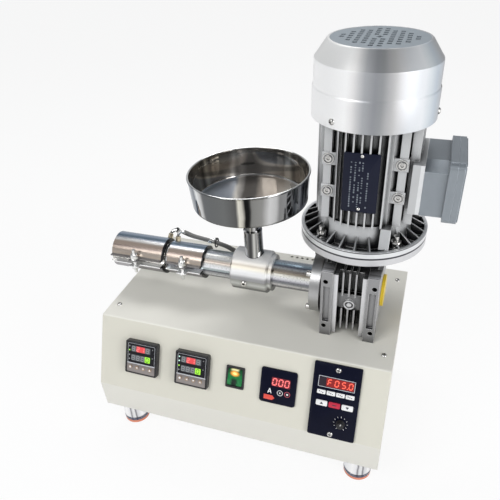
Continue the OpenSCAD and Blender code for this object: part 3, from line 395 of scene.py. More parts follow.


# Cast metal: painted shade in pockets, by ambient occlusion that takes in other parts
# unless local, and a painted highlight on edges. Joints are heights of dark seams, layers the
# limits and gain of painted light and shade on slices from front to back, and the rim a
# radius and the gain of painted light outside it.
def castFinish(name, colour, roughness=0.42, metallic=0.85, grain=900.0, depth=0.00012,
               reach=0.014, shade=0.85, bright=1.7, joints=(), layers=(), rim=None, local=True):
    edge = 0.0009
    made = Finish(name, colour, roughness, metallic)
    pits = made.node("ShaderNodeTexVoronoi", {}, {"Vector": made.place, "Scale": grain})
    sand = made.noise(grain * 1.7, 3.0, 0.7)
    tone = made.clamp(0.3 + 0.4 * made.noise(70.0, 4.0, 0.6) + 0.35 * (sand - 0.5))
    base = made.mixColour(tone, toned(colour, 0.78), toned(colour, 1.1))
    x, y, z = made.awayFrom(0.0, 0.0, 0.0)
    # Painted light and shade on slices from front to back
    for low, high, gain in layers:
        base = made.mixColour((y > low) * (y < high), base, [gain] * 3, "MULTIPLY")
    # Painted light outside a radius round the drive's axis
    if rim:
        x, y = x - layout["driveX"], y - layout["driveY"]
        outer = made.math("SQRT", x * x + y * y) > rim[0]
        base = made.mixColour(outer, base, [rim[1]] * 3, "MULTIPLY")
    # Painted shade in pockets by ambient occlusion
    deep = made.mixColour(made.ramp(made.openness(reach, local), 0.25, 0.85),
                          toned(colour, 1 - shade), base)
    # Painted highlight on edges
    highlitEdges = made.mixColour(made.edgeMask(edge), deep, toned(colour, bright, limit=0.95))
    for height in joints:
        highlitEdges = made.mixColour(made.ramp(made.absolute(z - height), 0.4, 0.9), (0.05, 0.05, 0.06),
                              highlitEdges)
    return made.done(highlitEdges, roughness - 0.08 + 0.22 * sand, 0.6 * sand + 0.4 * pits, depth, edge)


def mouldedFinish(name, colour, roughness, grain=1500.0, depth=0.00002, shine=0.5):
    made = Finish(name, colour, roughness, Specular_IOR_Level=shine)
    spark = made.noise(grain)
    cloud = made.noise(90.0)
    shade = made.mixColour(0.5 * cloud + 0.5 * spark, toned(colour, 0.85),
                           toned(colour, 1.15, 0.004))
    return made.done(shade, roughness - 0.04 + 0.1 * cloud, spark, depth, 0.0005)


def glowFinish(name, colour, strength):
    unlit = toned(colour, 0.3)
    made = Finish(name, unlit, 0.3, Emission_Strength=strength)
    cloud = made.noise(700.0)
    made.set("Base Color", made.mixColour(cloud, toned(unlit, 0.8), unlit))
    made.set("Emission Color", made.mixColour(cloud, toned(colour, 0.85), toned(colour, 1.1)))
    return made.material


# The lit rocker: a pale top, an orange lamp in the middle and green ribs below.
# Pairs are limits in millimetres over which a tone comes in.
lensSet = {"centre": (2.6, 47.0), "lampDown": -1.5, "wide": 0.5, "tall": 1.1, "heart": (0.5, 3.5),
           "lamp": (2.0, 5.5), "top": (4.0, 8.0), "topHalf": (3.0, 7.0), "foot": (4.0, 8.0),
           "footHalf": (2.0, 6.0), "ribs": 3.6, "ribbed": (-4.0, 3.0), "glow": 0.6}


def lensFinish(name):
    c = lensSet
    made = Finish(name, (0.02, 0.2, 0.05), 0.25, Emission_Strength=c["glow"],
                  Specular_IOR_Level=0.2)
    across, inward, rise = made.awayFrom(0.0, 0.0, layout["top"])
    down = 0.0 - (inward * panelSine + rise * panelCosine)
    x, v = across - c["centre"][0], down - c["centre"][1]
    lower, half = v - c["lampDown"], made.absolute(x)
    near = made.math("SQRT", c["wide"] * x * x + c["tall"] * lower * lower)
    ribs = 0.5 + 0.5 * made.math("SINE", across * c["ribs"])
    colour = made.mixColour(0.15 + 0.6 * ribs * made.ramp(v, *c["ribbed"]),
                            (0.002, 0.02, 0.008), (0.02, 0.26, 0.07))
    foot = made.ramp(v, *c["foot"]) * (1.0 - made.ramp(half, *c["footHalf"]))
    colour = made.mixColour(foot, colour, (0.002, 0.012, 0.006))
    top = made.ramp(0.0 - v, *c["top"]) * (1.0 - made.ramp(half, *c["topHalf"]))
    colour = made.mixColour(top, colour, (0.90, 0.84, 0.42))
    lamp = made.mixColour(made.ramp(near, *c["heart"]), (1.0, 0.72, 0.25), (0.85, 0.30, 0.03))
    colour = made.mixColour(made.ramp(near, *c["lamp"]), lamp, colour)
    made.set("Emission Color", colour)
    return made.done(colour, 0.2 + 0.1 * made.noise(300.0), ribs, 0.0001)


# Polished cups with reflections painted round each of the four feet, and a painted dark
# reflection at the lower edge
cupSet = {"half": 172.0, "middle": 91.0, "reach": 97.0, "edge": (8.0, 13.0), "roughness": 0.12}


def cupFinish(name, stops):
    c = cupSet
    made = Finish(name, (0.8, 0.8, 0.8), c["roughness"], 1.0)
    x, y, z = made.awayFrom(0.0, c["middle"], 0.0)
    x, y = [v - c[reach] * made.math("SIGN", v) for v, reach in ((x, "half"), (y, "reach"))]
    turn = 0.5 + 0.5 * made.math("ARCTAN2", y, x) / math.pi
    wave = made.noise(60.0) - 0.5
    # Painted dark reflection at the lower edge
    low = 1.0 - made.ramp(z + 3.0 * wave, *c["edge"])
    sheen = made.ringColour(turn + 0.02 * wave, stops)
    return made.done(made.mixColour(0.85 * low, sheen, (0.03, 0.04, 0.09)),
                     c["roughness"] * (0.8 + 0.6 * made.noise(400.0)), made.noise(300.0),
                     0.000006, 0.0006)


# The hopper: reflections painted in bands on the outside and inside walls and clouded
# across the floor over half a width, and a painted highlight on the up-facing rim
bowlSet = {"centre": (-5.8, layout["axisY"], 348.0), "half": 80.0, "floorTop": (2.0, 4.0),
           "roughness": 0.05, "floorRough": 0.25, "rim": (0.90, 0.90, 0.89)}


def bowlFinish(name, outside, inside, floor):
    c = bowlSet
    half = c["half"]
    made = Finish(name, (0.7, 0.7, 0.7), c["roughness"], 1.0)
    x, y, z = made.awayFrom(*c["centre"])
    facing = made.apart(made.node("ShaderNodeTexCoord", out=1))
    turn = made.turnRound(c["centre"])
    wave = made.noise(14.0, 3.0, 0.6) - 0.5
    across = made.clamp((x + 0.25 * y + 10.0 * wave + half) / (2 * half))
    # Painted reflections: across the floor, and by angle on the walls
    bottom = made.node("ShaderNodeValToRGB", {
        "stops": [((place + half) / (2 * half), colour) for place, colour in floor]}, [across])
    out = made.clamp(facing[0] * x + facing[1] * y) > 0.0
    walls = made.mixColour(out, made.ringColour(turn + 0.045 * wave, inside),
                           made.ringColour(turn + 0.02 * wave, outside))
    level = made.ramp(facing[2], 0.55, 0.8)
    deep = 1.0 - made.ramp(z, *c["floorTop"])
    onFloor = level * deep
    made.set("Metallic", (1.0 - 0.45 * onFloor) * (0.92 + 0.06 * out))
    body = made.mixColour(onFloor, walls, bottom)
    rough = (c["roughness"] + c["floorRough"] * onFloor) * (0.7 + 0.9 * made.noise(60.0, 3.0))
    # Painted highlight on the up-facing rim
    return made.done(made.mixColour(level * (1.0 - deep), body, c["rim"]), rough,
                     made.noise(20.0), 0.00002)


barrelAxis = (0.0, layout["axisY"], layout["axisZ"])
cowlAxis = (layout["driveX"], layout["driveY"], 500.0)
neckAxis = (-3.0, layout["axisY"], 290.0)


# Rows of an angle or place and a colour in hundredths, one number for a grey
def stopsOf(*rows):
    return [(row[0], [v / 100 for v in (row[1:] if len(row) > 2 else row[1:] * 3)])
            for row in rows]


# Painted reflections; degrees round the barrel's axis, from the back over the top (90) to
# the front (180)
turnedSheen = stopsOf((-174, 26, 27, 29), (-163, 80, 78, 79), (-148, 15, 15, 16), (-90, 22),
    (0, 40), (57, 4, 6, 8), (87, 39, 44, 50), (100, 33, 44, 53), (111, 17, 18, 23),
    (120, 56, 59, 62), (128, 24, 22, 20), (136, 5, 4, 3), (144, 9, 8, 6), (152, 96, 94, 86),
    (160, 97), (168, 59, 59, 63), (177, 19, 19, 22))
leftSheen = stopsOf((-177, 11, 12, 14), (-167, 47, 47, 49), (-153, 74, 75, 77), (-148, 14, 14, 15),
    (-90, 22), (0, 40), (60, 32, 38, 41), (72, 10, 14, 14), (92, 32, 34, 37), (104, 6, 7, 8),
    (114, 77, 77, 74), (123, 97), (132, 23, 22, 20), (140, 7, 5, 4), (148, 42, 38, 34), (156, 97),
    (165, 92, 93, 96), (173, 36, 41, 42))
blockSheen = stopsOf((-178, 33, 33, 31), (-167, 67, 68, 66), (-152, 40, 40, 38),
    (-150, 21, 21, 20), (-90, 22), (0, 40), (60, 20, 20, 21), (83, 67, 68, 70), (98, 97),
    (110, 97), (120, 97), (129, 84, 82, 78), (138, 31, 28, 24), (146, 60, 57, 49), (155, 97),
    (163, 93, 93, 94), (172, 36, 36, 37))
bandSheen = stopsOf((-178, 10, 10, 11), (-177, 97), (-170, 97), (-168, 47, 45, 47), (-140, 20),
    (-90, 20), (0, 30), (60, 20, 25, 31), (81, 36, 43, 53), (94, 14, 20, 26), (104, 20, 21, 24),
    (112, 88, 87, 84), (120, 52, 42, 35), (127, 47, 38, 32), (134, 13, 10, 9), (144, 30, 25, 21),
    (152, 47, 41, 36), (161, 56, 47, 39), (164, 25, 24, 24), (171, 19), (173, 6, 6, 7),
    (180, 7, 7, 8))
# Painted reflections; degrees from +X round an upright axis
cowlSheen = stopsOf((-170, 90), (-154, 97), (-134, 97), (-120, 97), (-109, 97), (-103, 82, 81, 81),
    (-98, 58, 58, 59), (-93, 40, 41, 43), (-84, 28, 29, 31), (-78, 30, 31, 32), (-73, 41, 41, 42),
    (-68, 47), (-63, 55, 55, 56), (-52, 64, 66, 69), (-39, 80, 82, 85), (-31, 71, 76, 80),
    (-22, 55, 61, 68), (-5, 45, 46, 48), (60, 60, 60, 62), (120, 70), (178, 85))
cupSheen = stopsOf((-178, 45, 46, 50), (-140, 75, 76, 78), (-105, 92), (-88, 80, 80, 82),
    (-82, 20, 20, 22), (-76, 75, 75, 76), (-66, 80), (-61, 16, 16, 18), (-55, 70, 70, 72),
    (-35, 90), (0, 60, 60, 62), (40, 45, 46, 50), (120, 70, 70, 72))
bowlOutsideSheen = stopsOf((-161, 5, 7, 11), (-140, 11, 14, 18), (-132, 10, 12, 15), (-127, 75, 77, 78),
    (-121, 50), (-117, 12, 12.5, 13), (-95, 15, 15.5, 15.5), (-84, 10), (-81.5, 72, 70, 62),
    (-78, 50, 48, 43), (-76.5, 1), (-72, 1), (-70, 22, 22, 21), (-60, 27, 27, 26), (-53, 60),
    (-47, 50), (-44, 22), (-32, 27, 27, 28), (-26, 6, 7, 8), (-21, 35, 36, 38), (-15, 7, 8, 11),
    (10, 12, 14, 17), (30, 50), (50, 14), (75, 55, 55, 54), (110, 20, 20, 21), (140, 60),
    (160, 10, 11, 13))
bowlInsideSheen = stopsOf((-180, 30, 28, 25), (-120, 50), (-60, 50), (18, 46, 45, 40), (30, 12, 11, 10),
    (40, 52, 50, 44), (48, 10, 9, 8), (58, 28, 27, 25), (63, 86, 84, 79), (67, 72, 70, 66),
    (70, 22, 21, 20), (90, 26, 25, 24), (112, 32, 31, 30), (118, 64, 62, 60), (123, 38, 37, 36),
    (126, 70, 68, 66), (130, 28, 26, 24), (152, 26, 24, 22), (158, 52, 50, 44), (164, 10, 9, 8),
    (172, 44, 42, 37), (180, 30, 28, 25))
neckSheen = stopsOf((-165, 6, 7, 9), (-150, 97), (-135, 97), (-118, 33, 33, 34), (-104, 10),
    (-92, 5), (-84, 10), (-70, 58, 58, 55), (-62, 37, 37, 35), (-54, 17), (-46, 97),
    (-24, 11, 11, 10), (-8, 6, 7, 9), (60, 40), (130, 30))
# Painted reflections by millimetres across the bowl's floor
bowlFloorSheen = stopsOf((-70, 24, 27, 31), (-26, 30, 33, 38), (-20, 62, 59, 54), (-14, 34, 32, 30),
    (-10, 10, 9, 8), (4, 12, 11, 10), (10, 34, 30, 26), (40, 40, 35, 30), (62, 32, 28, 24))

moulded = {
    "footRubber": ((0.74, 0.26, 0.16), 0.5),
    "blackPlastic": ((0.012, 0.012, 0.014), 0.36),
    "blackGloss": ((0.006, 0.006, 0.009), 0.14, 800.0, 0.000004, 0.2),
    "smokedWindow": ((0.14, 0.15, 0.16), 0.22, 800.0, 0.000004, 0.2),
    "speedWindow": ((0.03, 0.02, 0.03), 0.2, 800.0, 0.000004, 0.2),
    "dimSegments": ((0.30, 0.31, 0.32), 0.35),
    "outlinePrint": ((0.62, 0.64, 0.68), 0.4),
    "markPrint": ((0.92, 0.92, 0.91), 0.4),
    "platePrint": ((0.20, 0.23, 0.27), 0.4),
    "keyInk": ((0.03, 0.03, 0.05), 0.45),
    "navyPlastic": ((0.003, 0.004, 0.016), 0.25, 1500.0, 0.00002, 0.1),
    "navyGloss": ((0.002, 0.003, 0.014), 0.16, 700.0, 0.000004, 0.1),
    "greenRocker": ((0.02, 0.30, 0.06), 0.25),
    "whiteKeys": ((0.88, 0.88, 0.88), 0.35),
    "redKey": ((0.55, 0.015, 0.05), 0.35),
    "redPrint": ((0.60, 0.10, 0.13), 0.4),
    "yellowCap": ((0.85, 0.60, 0.03), 0.35),
    "navyPlate": ((0.004, 0.006, 0.020), 0.3, 1500.0, 0.00002, 0.2),
    "leadSleeve": ((0.16, 0.16, 0.155), 0.5),
    "blackRubber": ((0.018, 0.018, 0.018), 0.6),
}
steels = {
    "screwSteel": ((0.66, 0.65, 0.63), 0.24, 0.0, 0.00001, 0.003),
    "controllerStrip": ((0.34, 0.31, 0.30), 0.38),
    "bronzeKeys": ((0.45, 0.33, 0.24), 0.35),
    "grillePaint": ((0.28, 0.32, 0.355), 0.5, 0.0, 0.00002, 0.0, 0.3),
    "discSteel": ((0.46, 0.46, 0.46), 0.34, 700.0),
    "dieSteel": ((0.66, 0.64, 0.60), 0.2, 900.0),
    "terminalBrass": ((0.60, 0.52, 0.38), 0.25),
    "polishedSteel": ((0.80, 0.80, 0.79), 0.08),
}
glows = {
    "redBar": ((1.0, 0.10, 0.07), 0.55),
    "redHaze": ((0.30, 0.004, 0.02), 0.25),
    "redSegments": ((1.0, 0.18, 0.18), 1.25),
    "redGlow": ((0.85, 0.07, 0.08), 0.75),
    "greenSegments": ((0.12, 0.45, 0.02), 0.6),
    "greenGlow": ((0.42, 1.0, 0.05), 0.85),
    "greenLed": ((0.45, 1.0, 0.10), 0.9),
    "paleLed": ((0.65, 1.0, 0.85), 1.0),
    "orangeGlow": ((0.50, 0.008, 0.01), 0.3),
    "orangeSegments": ((1.0, 0.13, 0.08), 1.15),
}
casts = {
    "castAluminium": {"colour": (0.44, 0.44, 0.45), "shade": 0.9, "bright": 2.2,
                      "joints": [308.6], "rim": (77.0, 1.6)},
    "gearboxAluminium": {"colour": (0.44, 0.44, 0.45), "reach": 0.024, "shade": 0.96,
                         "bright": 2.2, "local": False, "layers": [
                             (43.0, 45.2, 0.8), (46.4, 47.6, 1.8), (51.0, 54.0, 0.6)]},
    "motorAluminium": {"colour": (0.60, 0.61, 0.62), "roughness": 0.34, "metallic": 0.8,
                       "grain": 1200.0, "depth": 0.00008, "reach": 0.022, "shade": 0.97,
                       "bright": 1.6, "joints": [309.6, 317.0], "rim": (78.0, 1.35),
                       "local": False},
    "boxAluminium": {"colour": (0.29, 0.32, 0.35), "roughness": 0.36, "metallic": 0.6,
                     "grain": 1100.0, "depth": 0.00008, "bright": 2.2},
}
# Steel and paint with reflections painted into the colour; the shade rings, the cowl's upper part
# and its notch take painted shade
banded = {
    "cowlPaint": {"stops": cowlSheen, "roughness": 0.42, "centre": cowlAxis, "depth": 0.00002,
                  "metallic": 0.4, "upper": (527.0, (0.80, 0.80, 0.79)),
                  "notch": (-3.0, 9.0, 497.0, 512.0)},
    "machinedSteel": {"stops": turnedSheen, "roughness": 0.28, "centre": barrelAxis,
                      "level": True, "depth": 0.000001, "metallic": 0.6, "left": leftSheen,
                      "split": -30.0, "dark": [(-132.4, 1.6), (-128.6, 1.2)]},
    "blockSteel": {"stops": blockSheen, "roughness": 0.42, "centre": barrelAxis, "level": True,
                   "depth": 0.000001, "metallic": 0.6},
    "bandSteel": {"stops": bandSheen, "roughness": 0.24, "centre": barrelAxis, "level": True,
                  "depth": 0.000002, "metallic": 0.6, "dark": [(-134.0, 1.9), (-73.5, 1.9)]},
    "neckSteel": {"stops": neckSheen, "roughness": 0.06, "centre": neckAxis},
}
finishes = {
    "cabinetPaint": paintFinish("cabinetPaint", (0.77, 0.755, 0.69), 0.38, (0.93, 0.925, 0.885)),
    "footChrome": cupFinish("footChrome", cupSheen),
    "litRocker": lensFinish("litRocker"),
    "bowlSteel": bowlFinish("bowlSteel", bowlOutsideSheen, bowlInsideSheen, bowlFloorSheen),
}
for make, rows in ((mouldedFinish, moulded), (steelFinish, steels), (glowFinish, glows)):
    finishes.update({name: make(name, *values) for name, values in rows.items()})
for make, rows in ((castFinish, casts), (bandedFinish, banded)):
    finishes.update({name: make(name, **values) for name, values in rows.items()})

coats = {
    "cabinetPaint": ["cabinet_cover", "left_side", "right_side", "back_panel", "base_plate"],
    "screwSteel": ["cover_screws", "motor_pad_screws", "flange_bolts", "disc_bolts"],
    "footChrome": ["foot_cups"],
    "footRubber": ["foot_pads"],
    "blackPlastic": ["mains_inlet", "temp_controller_1", "temp_controller_2", "rocker_frame",
                     "speed_knob", "cooling_fan", "cable_gland"],
    "bronzeKeys": ["controller_keys"],
    "navyPlastic": ["ammeter", "speed_controller"],
    "greenRocker": ["power_rocker"],
    "whiteKeys": ["speed_keys"],
    "gearboxAluminium": ["gearbox_housing"],
    "castAluminium": ["gearbox_input_flange", "gearbox_side_cover"],
    "yellowCap": ["shaft_cap"],
    "motorAluminium": ["motor_end_bell", "motor_body"],
    "navyPlate": ["name_plate"],
    "cowlPaint": ["fan_cowl"],
    "boxAluminium": ["terminal_box", "terminal_lid"],
    "machinedSteel": ["barrel", "feed_screw"],
    "blockSteel": ["feed_block", "feed_set_screw"],
    "discSteel": ["mounting_disc"],
    "dieSteel": ["die_head"],
    "bandSteel": ["heater_band_1", "heater_band_2"],
    "terminalBrass": ["heater_terminals"],
    "leadSleeve": ["heater_leads"],
    "blackRubber": ["lead_grommet"],
    "polishedSteel": ["clamp_bolts"],
    "neckSteel": ["neck_sleeve"],
    "bowlSteel": ["hopper_bowl"],
}
for coat, nodes in coats.items():
    for node in nodes:
        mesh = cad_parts[node].data
        if not mesh.materials:
            mesh.materials.append(None)
        for i in range(len(mesh.materials)):
            mesh.materials[i] = finishes[coat]
print("finishes given to the nodes")


class Tree(Sheet):
    # A geometry tree with named inputs; run() applies it and returns a plain mesh
    def __init__(self, name, sizes):
        super().__init__(bpy.data.node_groups.new(name, "GeometryNodeTree"))
        self.entry("Geometry", "Geometry")
        self.tree.interface.new_socket("Geometry", in_out="OUTPUT",
                                       socket_type="NodeSocketGeometry")
        self.keys = []
        for label, value in sizes.items():
            made = self.entry(label, "Int" if isinstance(value, int) else "Float")
            made.default_value = value
            self.keys.append(made.identifier)
        self.coat = self.entry("Finish", "Material").identifier
        self.start = self.tree.nodes.new("NodeGroupInput")
        self.end = self.tree.nodes.new("NodeGroupOutput")
        self.wires = [Wire(self, self.start.outputs[label]) for label in sizes]

    def entry(self, label, kind):
        return self.tree.interface.new_socket(label, in_out="INPUT",
                                              socket_type="NodeSocket" + kind)

    def move(self, mesh, place):
        return self.node("GeometryNodeTransform", {}, {"Geometry": mesh, "Translation": place})

    def cylinder(self, sides, radius, low, high):
        made = self.node("GeometryNodeMeshCylinder", {}, {"Vertices": sides, "Radius": radius,
                         "Depth": high - low})
        return self.move(made, self.join(0.0, 0.0, 0.5 * (high + low)))

    def cone(self, sides, lower, upper, low, high):
        made = self.node("GeometryNodeMeshCone", {}, {"Vertices": sides, "Radius Bottom": lower,
                         "Radius Top": upper, "Depth": high - low})
        return self.move(made, self.join(0.0, 0.0, low))

    def cube(self, x, y, z, place=(0, 0, 0)):
        return self.move(self.node("GeometryNodeMeshCube", {}, [self.join(x, y, z)]), place)

    # A difference takes the other meshes from the first
    def boolean(self, operation, *meshes):
        made = self.node("GeometryNodeMeshBoolean", {"operation": operation, "solver": "EXACT"})
        for i, mesh in enumerate(meshes):
            into = 0 if operation == "DIFFERENCE" and i == 0 else 1
            self.tree.links.new(mesh.socket, made.socket.node.inputs[into])
        return made

    def together(self, *meshes):
        made = self.node("GeometryNodeJoinGeometry")
        for mesh in reversed(meshes):
            self.tree.links.new(mesh.socket, made.socket.node.inputs[0])
        return made

    # Puts a shape on the incoming points, with its Z along their "facing"
    def onPoints(self, shape, scale=None):
        facing = self.node("GeometryNodeInputNamedAttribute", {"data_type": "FLOAT_VECTOR"},
                           {"Name": "facing"})
        turn = self.node("FunctionNodeAlignRotationToVector", {"axis": "Z"}, {"Vector": facing})
        return self.node("GeometryNodeInstanceOnPoints", {},
                         {"Points": Wire(self, self.start.outputs[0]), "Instance": shape,
                          "Rotation": turn, "Scale": scale})

    def close(self, geometry):
        real = self.node("GeometryNodeRealizeInstances", {}, [geometry])
        coated = self.node("GeometryNodeSetMaterial", {}, {
            "Geometry": real, "Material": Wire(self, self.start.outputs["Finish"])})
        self.tree.links.new(coated.socket, self.end.inputs[0])
        return self

    def run(self, mesh, sizes, finish):
        holder = addObject("holder", mesh)
        modifier = holder.modifiers.new("made", "NODES")
        modifier.node_group = self.tree
        for key, value in zip(self.keys, sizes):
            modifier[key] = value
        modifier[self.coat] = finish
        graph = bpy.context.evaluated_depsgraph_get()
        made = bpy.data.meshes.new_from_object(holder.evaluated_get(graph))
        holder.modifiers.remove(modifier)
        bpy.data.objects.remove(holder)
        made.transform(toFrame)
        return made


def crossScrewTree():
    tree = Tree("crossScrew", {"Head Radius": 4.0, "Head Height": 2.0, "Recess": 1.0})
    radius, height, recess = tree.wires
    rim = tree.cone(20, radius, 0.92 * radius, 0.05 * height, 0.5 * height)
    dome = tree.cone(20, 0.92 * radius, 0.55 * radius, 0.5 * height, height)
    long, wide, deep = 1.15 * radius, 0.24 * radius, recess * height
    place = tree.join(0.0, 0.0, height)
    head = tree.boolean("DIFFERENCE", tree.boolean("UNION", rim, dome),
                        tree.cube(long, wide, deep, place), tree.cube(wide, long, deep, place))
    return tree.close(tree.onPoints(head))


def socketScrewTree():
    tree = Tree("socketScrew", {"Head Radius": 4.0, "Head Height": 3.0, "Socket": 0.5,
                                "Ring Radius": 0.0, "Ring Height": 0.0})
    radius, height, socket, ringRadius, ringHeight = tree.wires
    body = tree.cone(24, radius, radius, 0.0, 0.8 * height)
    edge = tree.cone(24, radius, 0.88 * radius, 0.8 * height, height)
    hexagon = tree.cylinder(6, socket * radius, 0.35 * height, 1.5 * height)
    head = tree.boolean("DIFFERENCE", tree.boolean("UNION", body, edge), hexagon)
    ring = tree.boolean("DIFFERENCE", tree.cylinder(28, ringRadius, -0.2, ringHeight),
                        tree.cylinder(28, ringRadius - 1.0, -1.0, ringHeight + 1.0))
    return tree.close(tree.onPoints(tree.together(head, ring)))


def hexBoltTree():
    tree = Tree("hexBolt", {"Radius": 6.0, "Height": 5.0, "Washer Radius": 8.0,
                            "Washer Height": 1.2, "Stud Radius": 3.0, "Stud Start": 0.0,
                            "Stud Height": 9.0})
    radius, height, washerRadius, washer, studRadius, studStart, studHeight = tree.wires
    top = washer + height
    nut = tree.boolean("INTERSECT", tree.cylinder(6, radius, washer, top),
                       tree.cone(24, 1.25 * radius, 0.84 * radius, washer, top + 0.02))
    plate = tree.cylinder(24, washerRadius, 0.0, washer)
    stud = tree.cone(16, studRadius, 0.94 * studRadius, studStart, studHeight)
    return tree.close(tree.onPoints(tree.together(nut, plate, stud)))


# Small bars on points; their length varies by a seeded share
def rulingTree():
    tree = Tree("ruling", {"Length": 2.0, "Width": 0.4, "Height": 0.1, "Spread": 0.0, "Seed": 1})
    length, width, height, spread, seed = tree.wires
    share = tree.node("FunctionNodeRandomValue", {"data_type": "FLOAT"},
                      {2: 1.0 - spread, 3: 1.0, "Seed": seed}, out=1)
    return tree.close(tree.onPoints(tree.cube(width, length, height),
                                    tree.join(1.0, share, 1.0)))


# A disc on the drive's axis with openings on points and one in its middle
def grilleTree():
    tree = Tree("grille", {"Radius": 55.0, "Thickness": 1.2, "Height": 0.0, "Slot Width": 4.4,
                           "Slot Length": 5.2, "Eye": 6.0})
    radius, thick, top, slotWidth, slotLength, eyeRadius = tree.wires
    centre = tree.join(layout["driveX"], layout["driveY"], 0.0)
    disc = tree.move(tree.cylinder(96, radius, top - thick, top), centre)
    slot = tree.cube(slotWidth, slotLength, 6 * thick)
    slots = tree.node("GeometryNodeRealizeInstances", {}, [tree.onPoints(slot)])
    eye = tree.move(tree.cylinder(4, eyeRadius, top - 3 * thick, top + 3 * thick), centre)
    return tree.close(tree.boolean("DIFFERENCE", disc, slots, eye))


trees = {"cross": crossScrewTree(), "socket": socketScrewTree(), "hex": hexBoltTree(),
         "ruling": rulingTree(), "grille": grilleTree()}
print("fitting trees ready")


def placeOn(matrix):
    return matrix.translation.copy(), matrix.to_3x3() @ Vector((0, 0, 1))


# One piece of a tree's fittings: each place is a point in millimetres and the way it
# faces, and the sizes are in the order of the tree's inputs
def fittings(name, tree, places, sizes, coat="screwSteel", replaces=()):
    points = bpy.data.meshes.new("places")
    points.from_pydata([point for point, _ in places], [], [])
    facing = points.attributes.new("facing", "FLOAT_VECTOR", "POINT")
    for item, (_, way) in zip(facing.data, places):
        item.vector = Vector(way).normalized()
    settle(name, trees[tree].run(points, sizes, finishes[coat]), replaces)


segmentsOf = {"0": "abcdef", "1": "bc", "2": "abged", "5": "afgcd", "8": "abcdefg", "F": "afge"}


# A seven-segment digit
def drawDigit(shape, mark, across, down, width, height, thick, lift, slant=0.08):
    t = thick / 2
    w, h = width / 2 - t, height / 2 - t
    ends = {"a": (-w, h, w, h), "g": (-w, 0, w, 0), "d": (-w, -h, w, -h), "f": (-w, h, -w, 0),
            "b": (w, h, w, 0), "e": (-w, 0, -w, -h), "c": (w, 0, w, -h)}
    shape.at = panelSpot(across, down, lift)
    for key in segmentsOf[mark]:
        start, end = Vector(ends[key][:2]), Vector(ends[key][2:])
        along = (end - start).normalized() * t
        aside = Vector((-along.y, along.x))
        start, end = start + along * 0.25, end - along * 0.25
        corners = [start, start + along - aside, end - along - aside, end,
                   end - along + aside, start + along + aside]
        shape.prism([(p.x + slant * p.y, p.y) for p in corners], 0, 0.12)


# A flat area, or the line round it, on the panel. The box is its left, right, upper and
# lower edge from a point of the panel.
def patch(shape, at, box, lift, high, radius=0.0, bevel=0.0, line=0.0):
    left, right, upper, lower = box
    wide, tall = right - left, lower - upper
    shape.at = panelSpot(at[0] + (left + right) / 2, at[1] + (upper + lower) / 2, lift)
    if line:
        inside = roundRect(wide - 2 * line, tall - 2 * line, max(0.1, radius - line))
        shape.ring(roundRect(wide, tall, radius), inside, 0, high)
    else:
        shape.block(wide, tall, 0, high, bevel, radius)


# The case behind the panel with its front, then the flat areas; c is the instrument's
# settings, and an area's lift counts from the top of its face
def drawInstrument(c, made, at):
    case = made[c["pieces"][0][0]]
    case.at = panelSpot(*at)
    case.block(*c["case"], -c["deep"], 0.2)
    case.prism(roundRect(*c["front"]), 0.06, c["face"], c["bevel"], 3)
    for name, box, lift, *rest in c["areas"]:
        patch(made[name], at, box, c["face"] + lift, *rest)


def shapesOf(rows):
    return {row[0]: Shape(*row) for row in rows}


